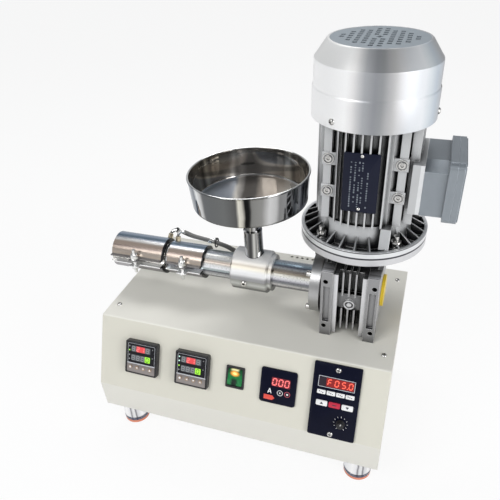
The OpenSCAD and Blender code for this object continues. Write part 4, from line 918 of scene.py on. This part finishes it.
controllerSet = {
    "pieces": [("controllerCases", "blackPlastic", ("temp_controller_1", "temp_controller_2")),
               ("controllerFaces", "blackGloss"), ("controllerWindows", "smokedWindow"),
               ("controllerOutlines", "outlinePrint"), ("controllerStrips", "controllerStrip"),
               ("dimSegments", "dimSegments"), ("keyMarks", "markPrint"),
               ("redSegments", "redSegments"), ("redGlow", "redGlow"),
               ("greenSegments", "greenSegments"), ("greenGlow", "greenGlow"),
               ("ledsGreen", "greenLed"), ("ledsWhite", "paleLed"), ("ledsDim", "dimSegments")],
    "centres": [-133.0, -57.5], "down": 51.0, "case": (44.4, 44.4), "deep": 55.0,
    "front": (48.0, 48.0, 2.2), "face": 7.5, "bevel": 0.0,
    "rimOut": (47.9, 47.9, 2.2), "rimIn": (44.0, 44.0, 1.0), "proud": 8.4,
    "latch": (24.0, 2.0, 3.5), "latchSize": (0.9, 5.0, 0, 3.2, 0.3),
    "areas": [("controllerFaces", (-21.7, 21.7, -21.7, 8.4), -0.2, 0.45, 0.8),
              ("controllerOutlines", (-20.6, 20.6, -20.6, 8.6), 0.2, 0.14, 1.6, 0.0, 0.45),
              ("controllerStrips", (-21.2, 21.2, 8.2, 22.0), -0.1, 0.5, 1.0, 0.15),
              ("controllerOutlines", (-21.2, 21.2, 8.0, 9.3), 0.3, 0.2),
              ("controllerWindows", (-15.1, 13.6, -17.2, -8.6), 0.12, 0.2, 0.4),
              ("controllerWindows", (-15.1, 13.6, -4.0, 4.6), 0.12, 0.2, 0.4),
              ("redGlow", (-7.6, 5.4, -17.0, -8.8), 0.3, 0.12, 0.8),
              ("greenGlow", (5.7, 13.6, -3.9, 4.5), 0.3, 0.12, 0.9)],
    "digitRows": [-12.9, 0.3], "digitColumns": [-12.2, -5.0, 2.2, 9.4],
    # piece, mark, width, height, thickness and lift by row and column
    "shown": {(0, 1): ("redSegments", "2", 4.6, 7.2, 1.35, 0.42),
              (0, 2): ("redSegments", "1", 4.6, 7.2, 1.35, 0.42),
              (1, 3): ("greenSegments", "0", 4.8, 7.2, 1.3, 0.42)},
    "unlit": ("dimSegments", "8", 5.2, 7.4, 1.1, 0.28),
    "ledColumn": -18.2, "leds": [-16.0, -10.0, -3.1, 3.0], "led": (2.2, 1.9, 0.8),
    "lit": [["ledsDim", "ledsGreen", "ledsDim", "ledsDim"],
            ["ledsWhite", "ledsWhite", "ledsGreen", "ledsDim"]],
    "dotColumn": 17.0, "dots": [-16.0, -3.5], "dot": (1.5, 1.3, 0.5), "ledLift": 0.2,
    "keyRow": 14.4, "keyColumns": [-15.8, -5.8, 4.2, 14.2], "keyLift": 1.28,
    "keyMarks": [ringOf(1.6, 14), [(-1.5, 0.0), (1.5, -1.5), (1.5, 1.5)],
                 [(-1.7, 1.2), (0.0, -1.5), (1.7, 1.2)],
                 [(-1.7, -1.2), (1.7, -1.2), (0.0, 1.5)]],
}


def makeControllers():
    c = controllerSet
    made = shapesOf(c["pieces"])
    down, face = c["down"], c["face"]
    for centre, lit in zip(c["centres"], c["lit"]):
        drawInstrument(c, made, (centre, down))
        cases = made["controllerCases"]
        cases.at = panelSpot(centre, down)
        cases.ring(roundRect(*c["rimOut"]), roundRect(*c["rimIn"]), face - 0.3, c["proud"], 0.5)
        across, below, lift = c["latch"]
        cases.at = panelSpot(centre + across, down + below, lift)
        cases.block(*c["latchSize"])
        for row, v in enumerate(c["digitRows"]):
            for column, x in enumerate(c["digitColumns"]):
                name, mark, *size, lift = c["shown"].get((row, column), c["unlit"])
                drawDigit(made[name], mark, centre + x, down + v, *size, face + lift)
        for v, name in zip(c["leds"], lit):
            made[name].at = panelSpot(centre + c["ledColumn"], down + v, face + c["ledLift"])
            made[name].prism(roundRect(*c["led"]), 0, 0.25, 0.1)
        for v in c["dots"]:
            made["ledsDim"].at = panelSpot(centre + c["dotColumn"], down + v,
                                           face + c["ledLift"])
            made["ledsDim"].prism(roundRect(*c["dot"]), 0, 0.2, 0.08)
        for x, outline in zip(c["keyColumns"], c["keyMarks"]):
            made["keyMarks"].at = panelSpot(centre + x, down + c["keyRow"], face + c["keyLift"])
            made["keyMarks"].prism(outline, 0, 0.12)
    for shape in made.values():
        shape.finish()


ammeterSet = {
    "pieces": [("ammeterCase", "navyPlastic", ("ammeter",)), ("ammeterFace", "navyGloss"),
               ("ammeterDigits", "redSegments"), ("ammeterHalo", "redHaze"),
               ("ammeterMarks", "markPrint"), ("ammeterRing", "redPrint"),
               ("ammeterBar", "redBar")],
    "centre": (62.5, 51.0), "case": (44.4, 44.4), "deep": 55.0, "front": (48.0, 48.0, 3.0),
    "face": 2.4, "bevel": 0.9, "lift": 0.06,
    "areas": [("ammeterFace", (-22.2, 22.2, -22.2, 22.2), -0.2, 0.26, 1.8, 0.08),
              ("ammeterHalo", (-9.1, 15.9, -12.8, -0.4), 0.04, 0.1, 1.5)],
    "digits": [57.6, 65.8, 74.0], "digitRow": 44.4, "digit": (6.4, 10.4, 1.5), "slant": 0.1,
    "digitLift": 0.16,
    "unitSpot": (51.8, 58.0),
    "unit": [([(-2.9, -3.4), (-1.6, -3.4), (0.0, 1.6), (0.0, 3.4), (-0.7, 3.4)], 0.14),
             ([(2.9, -3.4), (0.7, 3.4), (0.0, 3.4), (0.0, 1.6), (1.6, -3.4)], 0.14),
             ([(-1.5, -1.9), (1.5, -1.9), (1.2, -0.9), (-1.2, -0.9)], 0.15)],
    "arrowSpot": (51.5, 67.3),
    "arrow": [(-7.0, -3.2), (4.4, -3.2), (7.6, 0.0), (4.4, 3.2), (-7.0, 3.2)],
    "buttons": [(65.7, "ammeterMarks", 1.1), (75.5, "ammeterRing", 1.4)],
    "buttonRow": 58.7, "buttonRing": (3.9, 3.2),
}


def makeAmmeter():
    c = ammeterSet
    made = shapesOf(c["pieces"])
    drawInstrument(c, made, c["centre"])
    lift, unit = c["face"] + c["lift"], made["ammeterMarks"]
    for at in c["digits"]:
        drawDigit(made["ammeterDigits"], "0", at, c["digitRow"], *c["digit"],
                  c["face"] + c["digitLift"], c["slant"])
    unit.at = panelSpot(*c["unitSpot"], lift)
    for outline, high in c["unit"]:
        unit.prism(outline, 0, high)
    made["ammeterBar"].at = panelSpot(*c["arrowSpot"], lift)
    made["ammeterBar"].prism(c["arrow"], 0, 0.16, 0.05)
    for at, name, dot in c["buttons"]:
        made[name].at = unit.at = panelSpot(at, c["buttonRow"], lift)
        outer, inner = [ringOf(radius, 32) for radius in c["buttonRing"]]
        made[name].ring(outer, inner, 0, 0.14)
        unit.prism(ringOf(dot, 12), 0, 0.16)
    for shape in made.values():
        shape.finish()


speedSet = {
    "pieces": [("speedPlate", "navyPlastic", ("speed_controller",)), ("speedFace", "navyGloss"),
               ("speedOutline", "outlinePrint"), ("speedWindow", "speedWindow"),
               ("speedGlow", "orangeGlow"), ("speedDigits", "orangeSegments"),
               ("speedKeys", "whiteKeys", ("speed_keys",)), ("stopKey", "redKey"),
               ("keyArrows", "keyInk"), ("dialTicks", "markPrint"),
               ("speedKnob", "blackPlastic", ("speed_knob",), "knob"),
               ("knobPointer", "markPrint", (), "knob")],
    "centre": (136.5, 54.0), "case": (50.0, 88.0), "deep": 55.0, "front": (60.0, 100.0, 1.8),
    "face": 3.0, "bevel": 0.7, "lift": 0.1,
    "areas": [("speedFace", (-27.8, 27.8, -47.8, 47.8), -0.1, 0.2, 1.2, 0.05),
              ("speedOutline", (-22.9, 23.3, -32.2, -17.4), 0.05, 0.2, 0.5, 0.0, 0.7),
              ("speedWindow", (-22.3, 22.7, -31.6, -18.0), 0.04, 0.14, 0.3),
              ("speedGlow", (-12.9, 21.9, -30.8, -18.8), 0.16, 0.08, 1.2)],
    "digits": [("F", 128.2), ("0", 137.0), ("5", 145.8), ("0", 154.6)], "digitRow": 29.2,
    "digit": (5.8, 9.2, 1.5), "slant": 0.1, "point": (150.4, 33.2), "pointRadius": 0.8,
    "digitLift": 0.26,
    # piece, across, down, width, height and corner radius
    "keys": [("speedKeys", x, 43.2, 10.8, 5.4, 0.9) for x in (118.8, 131.0, 143.0, 155.1)]
    + [("speedKeys", 120.7, 58.2, 14.4, 7.2, 1.1), ("speedKeys", 153.4, 58.2, 14.4, 7.2, 1.1),
       ("stopKey", 137.0, 58.2, 14.4, 7.2, 1.1)],
    "keyHeight": 1.0, "keyBevel": 0.3, "inkLift": 1.08, "legendLift": 1.12,
    "legendStep": (2.2, 0.6), "legendStart": (-2.4, -0.6), "legend": (1.5, 1.3, 0.12, 0.5, 4),
    "arrow": [(-2.2, -1.5), (2.2, -1.5), (0.0, 1.7)], "dash": (5.0, 1.2, 0.3),
    "knob": (147.5, 81.0), "ticks": 11, "tickRadius": 8.6, "tickSizes": (0.6, 2.3, 1.5),
    "firstTick": -150, "dialTurn": 300, "skirtRadius": 5.225, "skirt": (0.45, 3.2, 0.3),
    "knurl": 0.05, "cap": [(0, 3.0), (4.73, 3.0), (4.4, 7.4), (3.85, 8.3), (0, 8.3)],
    "pointer": (0.8, 2.6), "pointerOut": 2.1, "pointerTurn": -20, "pointerLift": 8.24,
    "screws": [(136.8, 11.0), (135.7, 99.0)], "screw": (3.6, 1.7, 1.0),
}


def makeSpeedController():
    c = speedSet
    made = shapesOf(c["pieces"])
    drawInstrument(c, made, c["centre"])
    lift = c["face"] + c["lift"]
    digits = made["speedDigits"]
    for mark, at in c["digits"]:
        drawDigit(digits, mark, at, c["digitRow"], *c["digit"], c["face"] + c["digitLift"],
                  c["slant"])
    digits.at = panelSpot(*c["point"], c["face"] + c["digitLift"])
    digits.prism(ringOf(c["pointRadius"], 12), 0, 0.12)
    for name, across, down, *outline in c["keys"]:
        made[name].at = panelSpot(across, down, lift)
        made[name].prism(roundRect(*outline), 0, c["keyHeight"], c["keyBevel"])
    legends = []
    for _, across, down, *_ in c["keys"][:4]:
        for i in range(3):
            x, v = [a + i * b for a, b in zip(c["legendStart"], c["legendStep"])]
            legends.append(placeOn(panelSpot(across + x, down + v,
                                             c["face"] + c["legendLift"])))
    fittings("keyLegends", "ruling", legends, c["legend"], "keyInk")
    ink = made["keyArrows"]
    for (name, across, down, *_), turn in zip(c["keys"][4:], (0, 180, 0)):
        ink.at = panelSpot(across, down, c["face"] + c["inkLift"], turn)
        ink.prism(roundRect(*c["dash"]) if name == "stopKey" else c["arrow"], 0, 0.12)
    wide, long, short = c["tickSizes"]
    for i in range(c["ticks"]):
        turn = c["firstTick"] + c["dialTurn"] * i / (c["ticks"] - 1)
        made["dialTicks"].at = panelSpot(*c["knob"], lift, turn) @ spot(0, c["tickRadius"], 0)
        made["dialTicks"].block(wide, short if i % 5 else long, 0, 0.12)
    fittings("speedScrews", "cross", [placeOn(panelSpot(*p, lift)) for p in c["screws"]],
             c["screw"])
    knob, pointer = made["speedKnob"], made["knobPointer"]
    knob.at = panelSpot(*c["knob"], c["face"])
    knob.prism([(x * (1 + c["knurl"] * (i % 2)), y * (1 + c["knurl"] * (i % 2)))
                for i, (x, y) in enumerate(ringOf(c["skirtRadius"], 48))], *c["skirt"])
    knob.lathe(c["cap"], 40)
    pointer.at = panelSpot(*c["knob"], c["face"] + c["pointerLift"], c["pointerTurn"]) \
        @ spot(0, c["pointerOut"], 0)
    pointer.block(*c["pointer"], 0, 0.15)
    for shape in made.values():
        shape.finish()


rockerSet = {"centre": (3.0, 51.0), "pivot": -1.0, "tilt": -8.0, "half": 9.7, "swing": 11.2,
             "crest": 5.4, "dip": 2.8, "under": -5.0, "steps": 12, "round": 0.15,
             "bow": 1.25, "drop": 1.3, "tuck": 0.35, "foot": 0.9, "bevel": 0.7}


def makeRocker():
    c = rockerSet
    rocker = Shape("rockerLens", "litRocker", ("power_rocker",), "rocker", 25.0)
    rocker.at = panelSpot(*c["centre"], c["pivot"]) @ spot(0, 0, 0, c["tilt"]) \
        @ spot(0, 0, 0, 90, 0, 90)
    outline = [(side * c["swing"] * c["foot"], c["under"]) for side in (-1, 1)]
    for i in range(c["steps"] + 1):
        u = 1 - 2 * i / c["steps"]
        edge = max(0.0, abs(u) - 1 + c["round"]) / c["round"]
        rise = (c["crest"] - c["dip"]) * abs(u) ** c["bow"] - c["drop"] * edge ** 2
        outline.append((u * (c["swing"] - c["tuck"] * edge), c["dip"] + rise))
    rocker.prism(outline, -c["half"], c["half"], c["bevel"], 3, True)
    rocker.finish()


cowlSet = {
    "profile": [(72.0, 462.0), (72.0, 496.0), (71.7, 496.8), (71.0, 497.9), (70.8, 498.8),
                (70.8, 525.0), (70.4, 527.0), (69.2, 528.6), (57.7, 545.6), (56.4, 546.7),
                (55.1, 547.0), (54.1, 546.8), (54.1, 545.4), (68.8, 527.0), (69.6, 497.0),
                (70.8, 495.0), (70.8, 462.0)],
    "columns": {4.5: [-0.5, 0.5], 3.5: range(-2, 3), 2.5: range(-3, 4), 1.5: range(-3, 4)},
    "columnPitch": 9.0, "rowPitch": 9.8, "innerStart": 11.5, "innerRows": 4, "slotZ": 546.4,
    "grille": (54.3, 1.2, 546.7, 5.0, 6.2, 4.4),
    "screwTurns": [-121, -1, 119], "screwOut": 71.9, "screwZ": 470.0, "screw": (3.9, 2.4, 1.0),
}


def makeCowl():
    c = cowlSet
    x, y = layout["driveX"], layout["driveY"]
    cowl = Shape("fanCowl", "cowlPaint", ("fan_cowl",), sharp=24.0)
    cowl.at = spot(x, y, 0)
    cowl.lathe(c["profile"], 128, closed=True)
    cowl.finish()
    pitch, step = c["columnPitch"], c["rowPitch"]
    places = [(side * column * pitch, row * step) for column, rows in c["columns"].items()
              for side in (-1, 1) for row in rows]
    places += [(side * 0.5 * pitch, sign * (c["innerStart"] + row * step))
               for side in (-1, 1) for row in range(c["innerRows"]) for sign in (-1, 1)]
    points = [((x + across, y + along, c["slotZ"]), (0, 0, 1)) for across, along in places]
    fittings("fanGrille", "grille", points, c["grille"], "grillePaint")
    screws = [placeOn(spot(x, y, c["screwZ"], 0, 0, turn) @ spot(c["screwOut"], 0, 0, 0, 90))
              for turn in c["screwTurns"]]
    fittings("cowlScrews", "cross", screws, c["screw"])


plateSet = {"pieces": [("namePlate", "navyPlate", ("name_plate",)),
                       ("plateRivets", "screwSteel")],
            "centre": (135.0, 73.9, 399.0), "size": (41.0, 74.0, 1.5), "thick": 0.8,
            "columns": [-11.5, -6.7, -2.1, 1.6, 7.9], "low": -30.0, "high": 26.0, "pitch": 3.1,
            "stagger": 6, "lastShort": 8, "seed": 7,
            "share": 0.72, "mark": (2.4, 1.5, 0.14, 0.7, 3), "rivets": [33.6, -33.0],
            "rivet": [(2.1, 0), (2.0, 0.5), (1.5, 1.0), (0.8, 1.25), (0, 1.35)]}


def makeNamePlate():
    c = plateSet
    place = spot(*c["centre"], 90)
    plate, rivets = shapesOf(c["pieces"]).values()
    plate.at = place
    plate.prism(roundRect(*c["size"]), -0.7, c["thick"] - 0.1, 0.15)
    plate.finish()
    random.seed(c["seed"])
    marks = []
    for k, x in enumerate(c["columns"]):
        y = c["low"] + c["stagger"] * (k % 2)
        while y < c["high"] - (c["lastShort"] if k == len(c["columns"]) - 1 else 0):
            if random.random() < c["share"]:
                marks.append(placeOn(place @ spot(x, y, c["thick"])))
            y += c["pitch"]
    fittings("plateMarks", "ruling", marks, c["mark"], "platePrint")
    for y in c["rivets"]:
        rivets.at = place @ spot(0, y, c["thick"] - 0.1)
        rivets.lathe(c["rivet"], 20)
    rivets.finish()


padSet = {"across": (-42, 42), "out": 44, "heights": (377.5, 419.0),
          "screw": (4.1, 1.5, 0.52, 6.6, 0.9)}


def makePadScrews():
    c = padSet
    x, y = layout["driveX"], layout["driveY"]
    places = [((x + across, y + side * c["out"], height), (0, side, 0))
              for side in (-1, 1) for across in c["across"] for height in c["heights"]]
    fittings("padScrews", "socket", places, c["screw"], replaces=("motor_pad_screws",))


# Screws and bolts of the cabinet, the drive, the barrel and the box. A grid is a piece, its
# tree, places along x, y and z, the way it faces, its sizes and the node it stands for.
boltSet = {
    "grids": [
        ("coverScrews", "cross", (-187.5, 187.5), (26.0, 191.0), [189.9], (0, 0, 1),
         (3.6, 2.05, 1.2), ("cover_screws",)),
        ("discBolts", "socket", [83.0], (67.5, 120.5), (213.5, 266.5), (-1, 0, 0),
         (4.0, 6.0, 0.55), ("disc_bolts",)),
        ("flangeNuts", "hex", (90.0, 182.0), (88.0, 180.0), [314.0], (0, 0, 1),
         (7.2, 5.6, 7.2, 1.4, 4.0, -15.0, 14.0), ("flange_bolts",)),
        ("flangeHeads", "hex", (90.0, 182.0), (88.0, 180.0), [299.0], (0, 0, -1),
         (7.2, 4.8, 7.2, 1.2, 3.4, -2.0, 6.0), ()),
        ("lidScrews", "cross", [243.4], (90.5, 168.5), (360.0, 422.0), (1, 0, 0),
         (3.9, 2.0, 1.2), ())],
    "bands": [(-174.0, 25.7), (-100.5, 23.6)], "clampTilt": -3.0, "clampIn": 5.5,
    "clampStack": 5.45, "clampNut": (5.6, 6.8, 5.6, 1.2, 2.6, -10.9, 15.0),
    "clampHead": (5.6, 3.0, 5.6, 1.0, 2.6, -1.0, 10.5),
    "setX": -9.2, "setTilt": 8.0, "setOut": 29.5, "setScrew": (4.4, 3.0, 0.46),
}


def makeBolts():
    c = boltSet
    for name, tree, xs, ys, zs, way, sizes, replaces in c["grids"]:
        places = [((x, y, z), way) for x in xs for y in ys for z in zs]
        fittings(name, tree, places, sizes, replaces=replaces)
    upper, lower = [], []
    for x, radius in c["bands"]:
        place = spot(x, layout["axisY"], layout["axisZ"], c["clampTilt"]) \
            @ spot(0, -radius - c["clampIn"], 0)
        upper.append(placeOn(place @ spot(0, 0, c["clampStack"])))
        lower.append(placeOn(place @ spot(0, 0, -c["clampStack"], 180)))
    fittings("clampNuts", "hex", upper, c["clampNut"], "polishedSteel", ("clamp_bolts",))
    fittings("clampHeads", "hex", lower, c["clampHead"], "polishedSteel")
    place = spot(c["setX"], layout["axisY"], layout["axisZ"], 90 + c["setTilt"]) \
        @ spot(0, 0, c["setOut"])
    fittings("setScrew", "socket", [placeOn(place)], c["setScrew"],
             replaces=("feed_set_screw",))


leadSet = {"crimps": [[(-139.0, 27.4, 24.6), (-135.0, 29.3, 26.8), (-129.5, 29.1, 26.3)],
                      [(-120.8, 11.6, 33.6), (-117.2, 12.0, 37.8), (-111.5, 12.4, 37.4)],
                      [(-79.0, 19.6, 22.6), (-72.5, 20.0, 21.6)],
                      [(-74.0, 14.0, 28.6), (-68.0, 14.5, 27.5)]],
           "crimpRadius": 2.7, "ties": [(-131.0, 29.2, 26.4, 3.2), (-65.0, 17.6, 23.0, 6.4)],
           "tieRadius": 0.9, "knotRadius": 1.7, "knotHalf": Vector((1.4, 0, 0)),
           "tail": Vector((4.0, -2.5, 1.5)), "tailRadius": 0.8}


def makeLeadDetails():
    c = leadSet
    crimps, ties = Shape("leadCrimps", "polishedSteel"), Shape("leadTies", "blackRubber")
    crimps.at = ties.at = spot(0, layout["axisY"], layout["axisZ"])
    for path in c["crimps"]:
        crimps.tube(path, c["crimpRadius"], 12)
    for x, y, z, radius in c["ties"]:
        loop = [(x, y + a, z + b) for a, b in ringOf(radius, 18)]
        ties.tube(loop + loop[:2], c["tieRadius"], 8)
        knot = Vector((x, y, z + radius))
        ties.tube([knot - c["knotHalf"], knot + c["knotHalf"]], c["knotRadius"], 8)
        ties.tube([knot, knot + c["tail"]], c["tailRadius"], 8)
    crimps.finish()
    ties.finish()


gearSet = {"boss": (136.0, 52.0, 240.0), "plug": 3.2, "ring": (7.0, 5.2), "low": -0.5,
           "out": 2.2}


def makeGearDetails():
    c = gearSet
    ring, plug = Shape("gearRing", "castAluminium"), Shape("gearPlug", "castAluminium")
    ring.at = plug.at = spot(*c["boss"], 90)
    outer, inner = [ringOf(radius, 32) for radius in c["ring"]]
    ring.ring(outer, inner, c["low"], c["out"], 0.5)
    plug.prism(ringOf(c["plug"], 24), c["low"], c["out"], 0.4)
    ring.finish()
    plug.finish()


makeControllers()
makeAmmeter()
makeSpeedController()
makeRocker()
print("control panel made")
makeCowl()
makeNamePlate()
makePadScrews()
print("motor fittings made")
makeBolts()
makeLeadDetails()
makeGearDetails()
print("bolts, leads and gearbox fittings made")

stage = {"lampTarget": (0, 0, 0.25), "floorHalf": 4.5, "floorColour": (0.90, 0.90, 0.90),
         "floorGlow": 0.9,
         "skyLow": (0.90, 0.91, 0.92), "skyHigh": (0.26, 0.28, 0.31), "skyStrength": 0.55}


def makeStage():
    mesh = bpy.data.meshes.new("floor")
    half = stage["floorHalf"]
    mesh.from_pydata([(-half, -half, 0), (half, -half, 0), (half, half, 0), (-half, half, 0)],
                     [], [(0, 1, 2, 3)])
    floor = addObject("floor", mesh)
    made = Finish("floorPaper", stage["floorColour"], 0.9)
    made.set("Base Color", made.mixColour(made.noise(3.0), toned(stage["floorColour"], 0.985),
                                          stage["floorColour"]))
    rays = made.node("ShaderNodeLightPath").socket.node.outputs
    seen = made.clamp(Wire(made, rays["Is Camera Ray"]) + Wire(made, rays["Is Glossy Ray"])
                      + Wire(made, rays["Is Transmission Ray"]))
    white = made.node("ShaderNodeEmission", {}, {"Color": (1, 1, 1, 1), "Strength": 1.0})
    blend = made.node("ShaderNodeMixShader", {}, [
        stage["floorGlow"] * seen, Wire(made, made.shader.outputs[0]), white])
    made.tree.links.new(blend.socket, made.tree.nodes["Material Output"].inputs[0])
    mesh.materials.append(made.material)

    world = bpy.data.worlds.new("studio")
    world.use_nodes = True
    bpy.context.scene.world = world
    sky = Sheet(world.node_tree)
    height = sky.apart(sky.node("ShaderNodeTexCoord"))[2]
    colour = sky.mixColour(sky.ramp(height, 0.22, 0.75), stage["skyLow"], stage["skyHigh"])
    back = world.node_tree.nodes["Background"]
    world.node_tree.links.new(colour.socket, back.inputs["Color"])
    back.inputs["Strength"].default_value = stage["skyStrength"]


lamps = [
    {"name": "key", "place": (-0.70, -1.35, 1.55), "size": (0.9, 0.7), "power": 17.5},
    {"name": "side", "place": (1.55, -0.75, 0.85), "size": (0.9, 1.2), "power": 16.0},
    {"name": "over", "place": (-0.35, 0.75, 1.7), "size": (1.2, 0.5), "power": 12.0},
]


def makeLamps():
    target = Vector(stage["lampTarget"])
    for lamp in lamps:
        data = bpy.data.lights.new(lamp["name"], "AREA")
        data.shape = "RECTANGLE"
        data.size, data.size_y = lamp["size"]
        data.energy = lamp["power"]
        holder = addObject(lamp["name"], data)
        holder.location = lamp["place"]
        holder.rotation_euler = (target - holder.location).to_track_quat("-Z", "Y").to_euler()


cameraSet = {"place": (203.93, -506.04, 685.34), "turn": (56.929, 1.980, 18.248),
             "lens": 39.93, "film": 36.0, "nearest": 0.01}


def makeCamera():
    data = bpy.data.cameras.new("camera")
    data.lens = cameraSet["lens"]
    data.sensor_width = cameraSet["film"]
    data.clip_start = cameraSet["nearest"]
    camera = addObject("camera", data)
    camera.location = toFrame @ Vector(cameraSet["place"])
    camera.rotation_euler = [math.radians(a) for a in cameraSet["turn"]]
    bpy.context.scene.camera = camera


makeStage()
makeLamps()
makeCamera()
bpy.context.scene.view_settings.view_transform = "Standard"
print("stage, lamps and camera set")
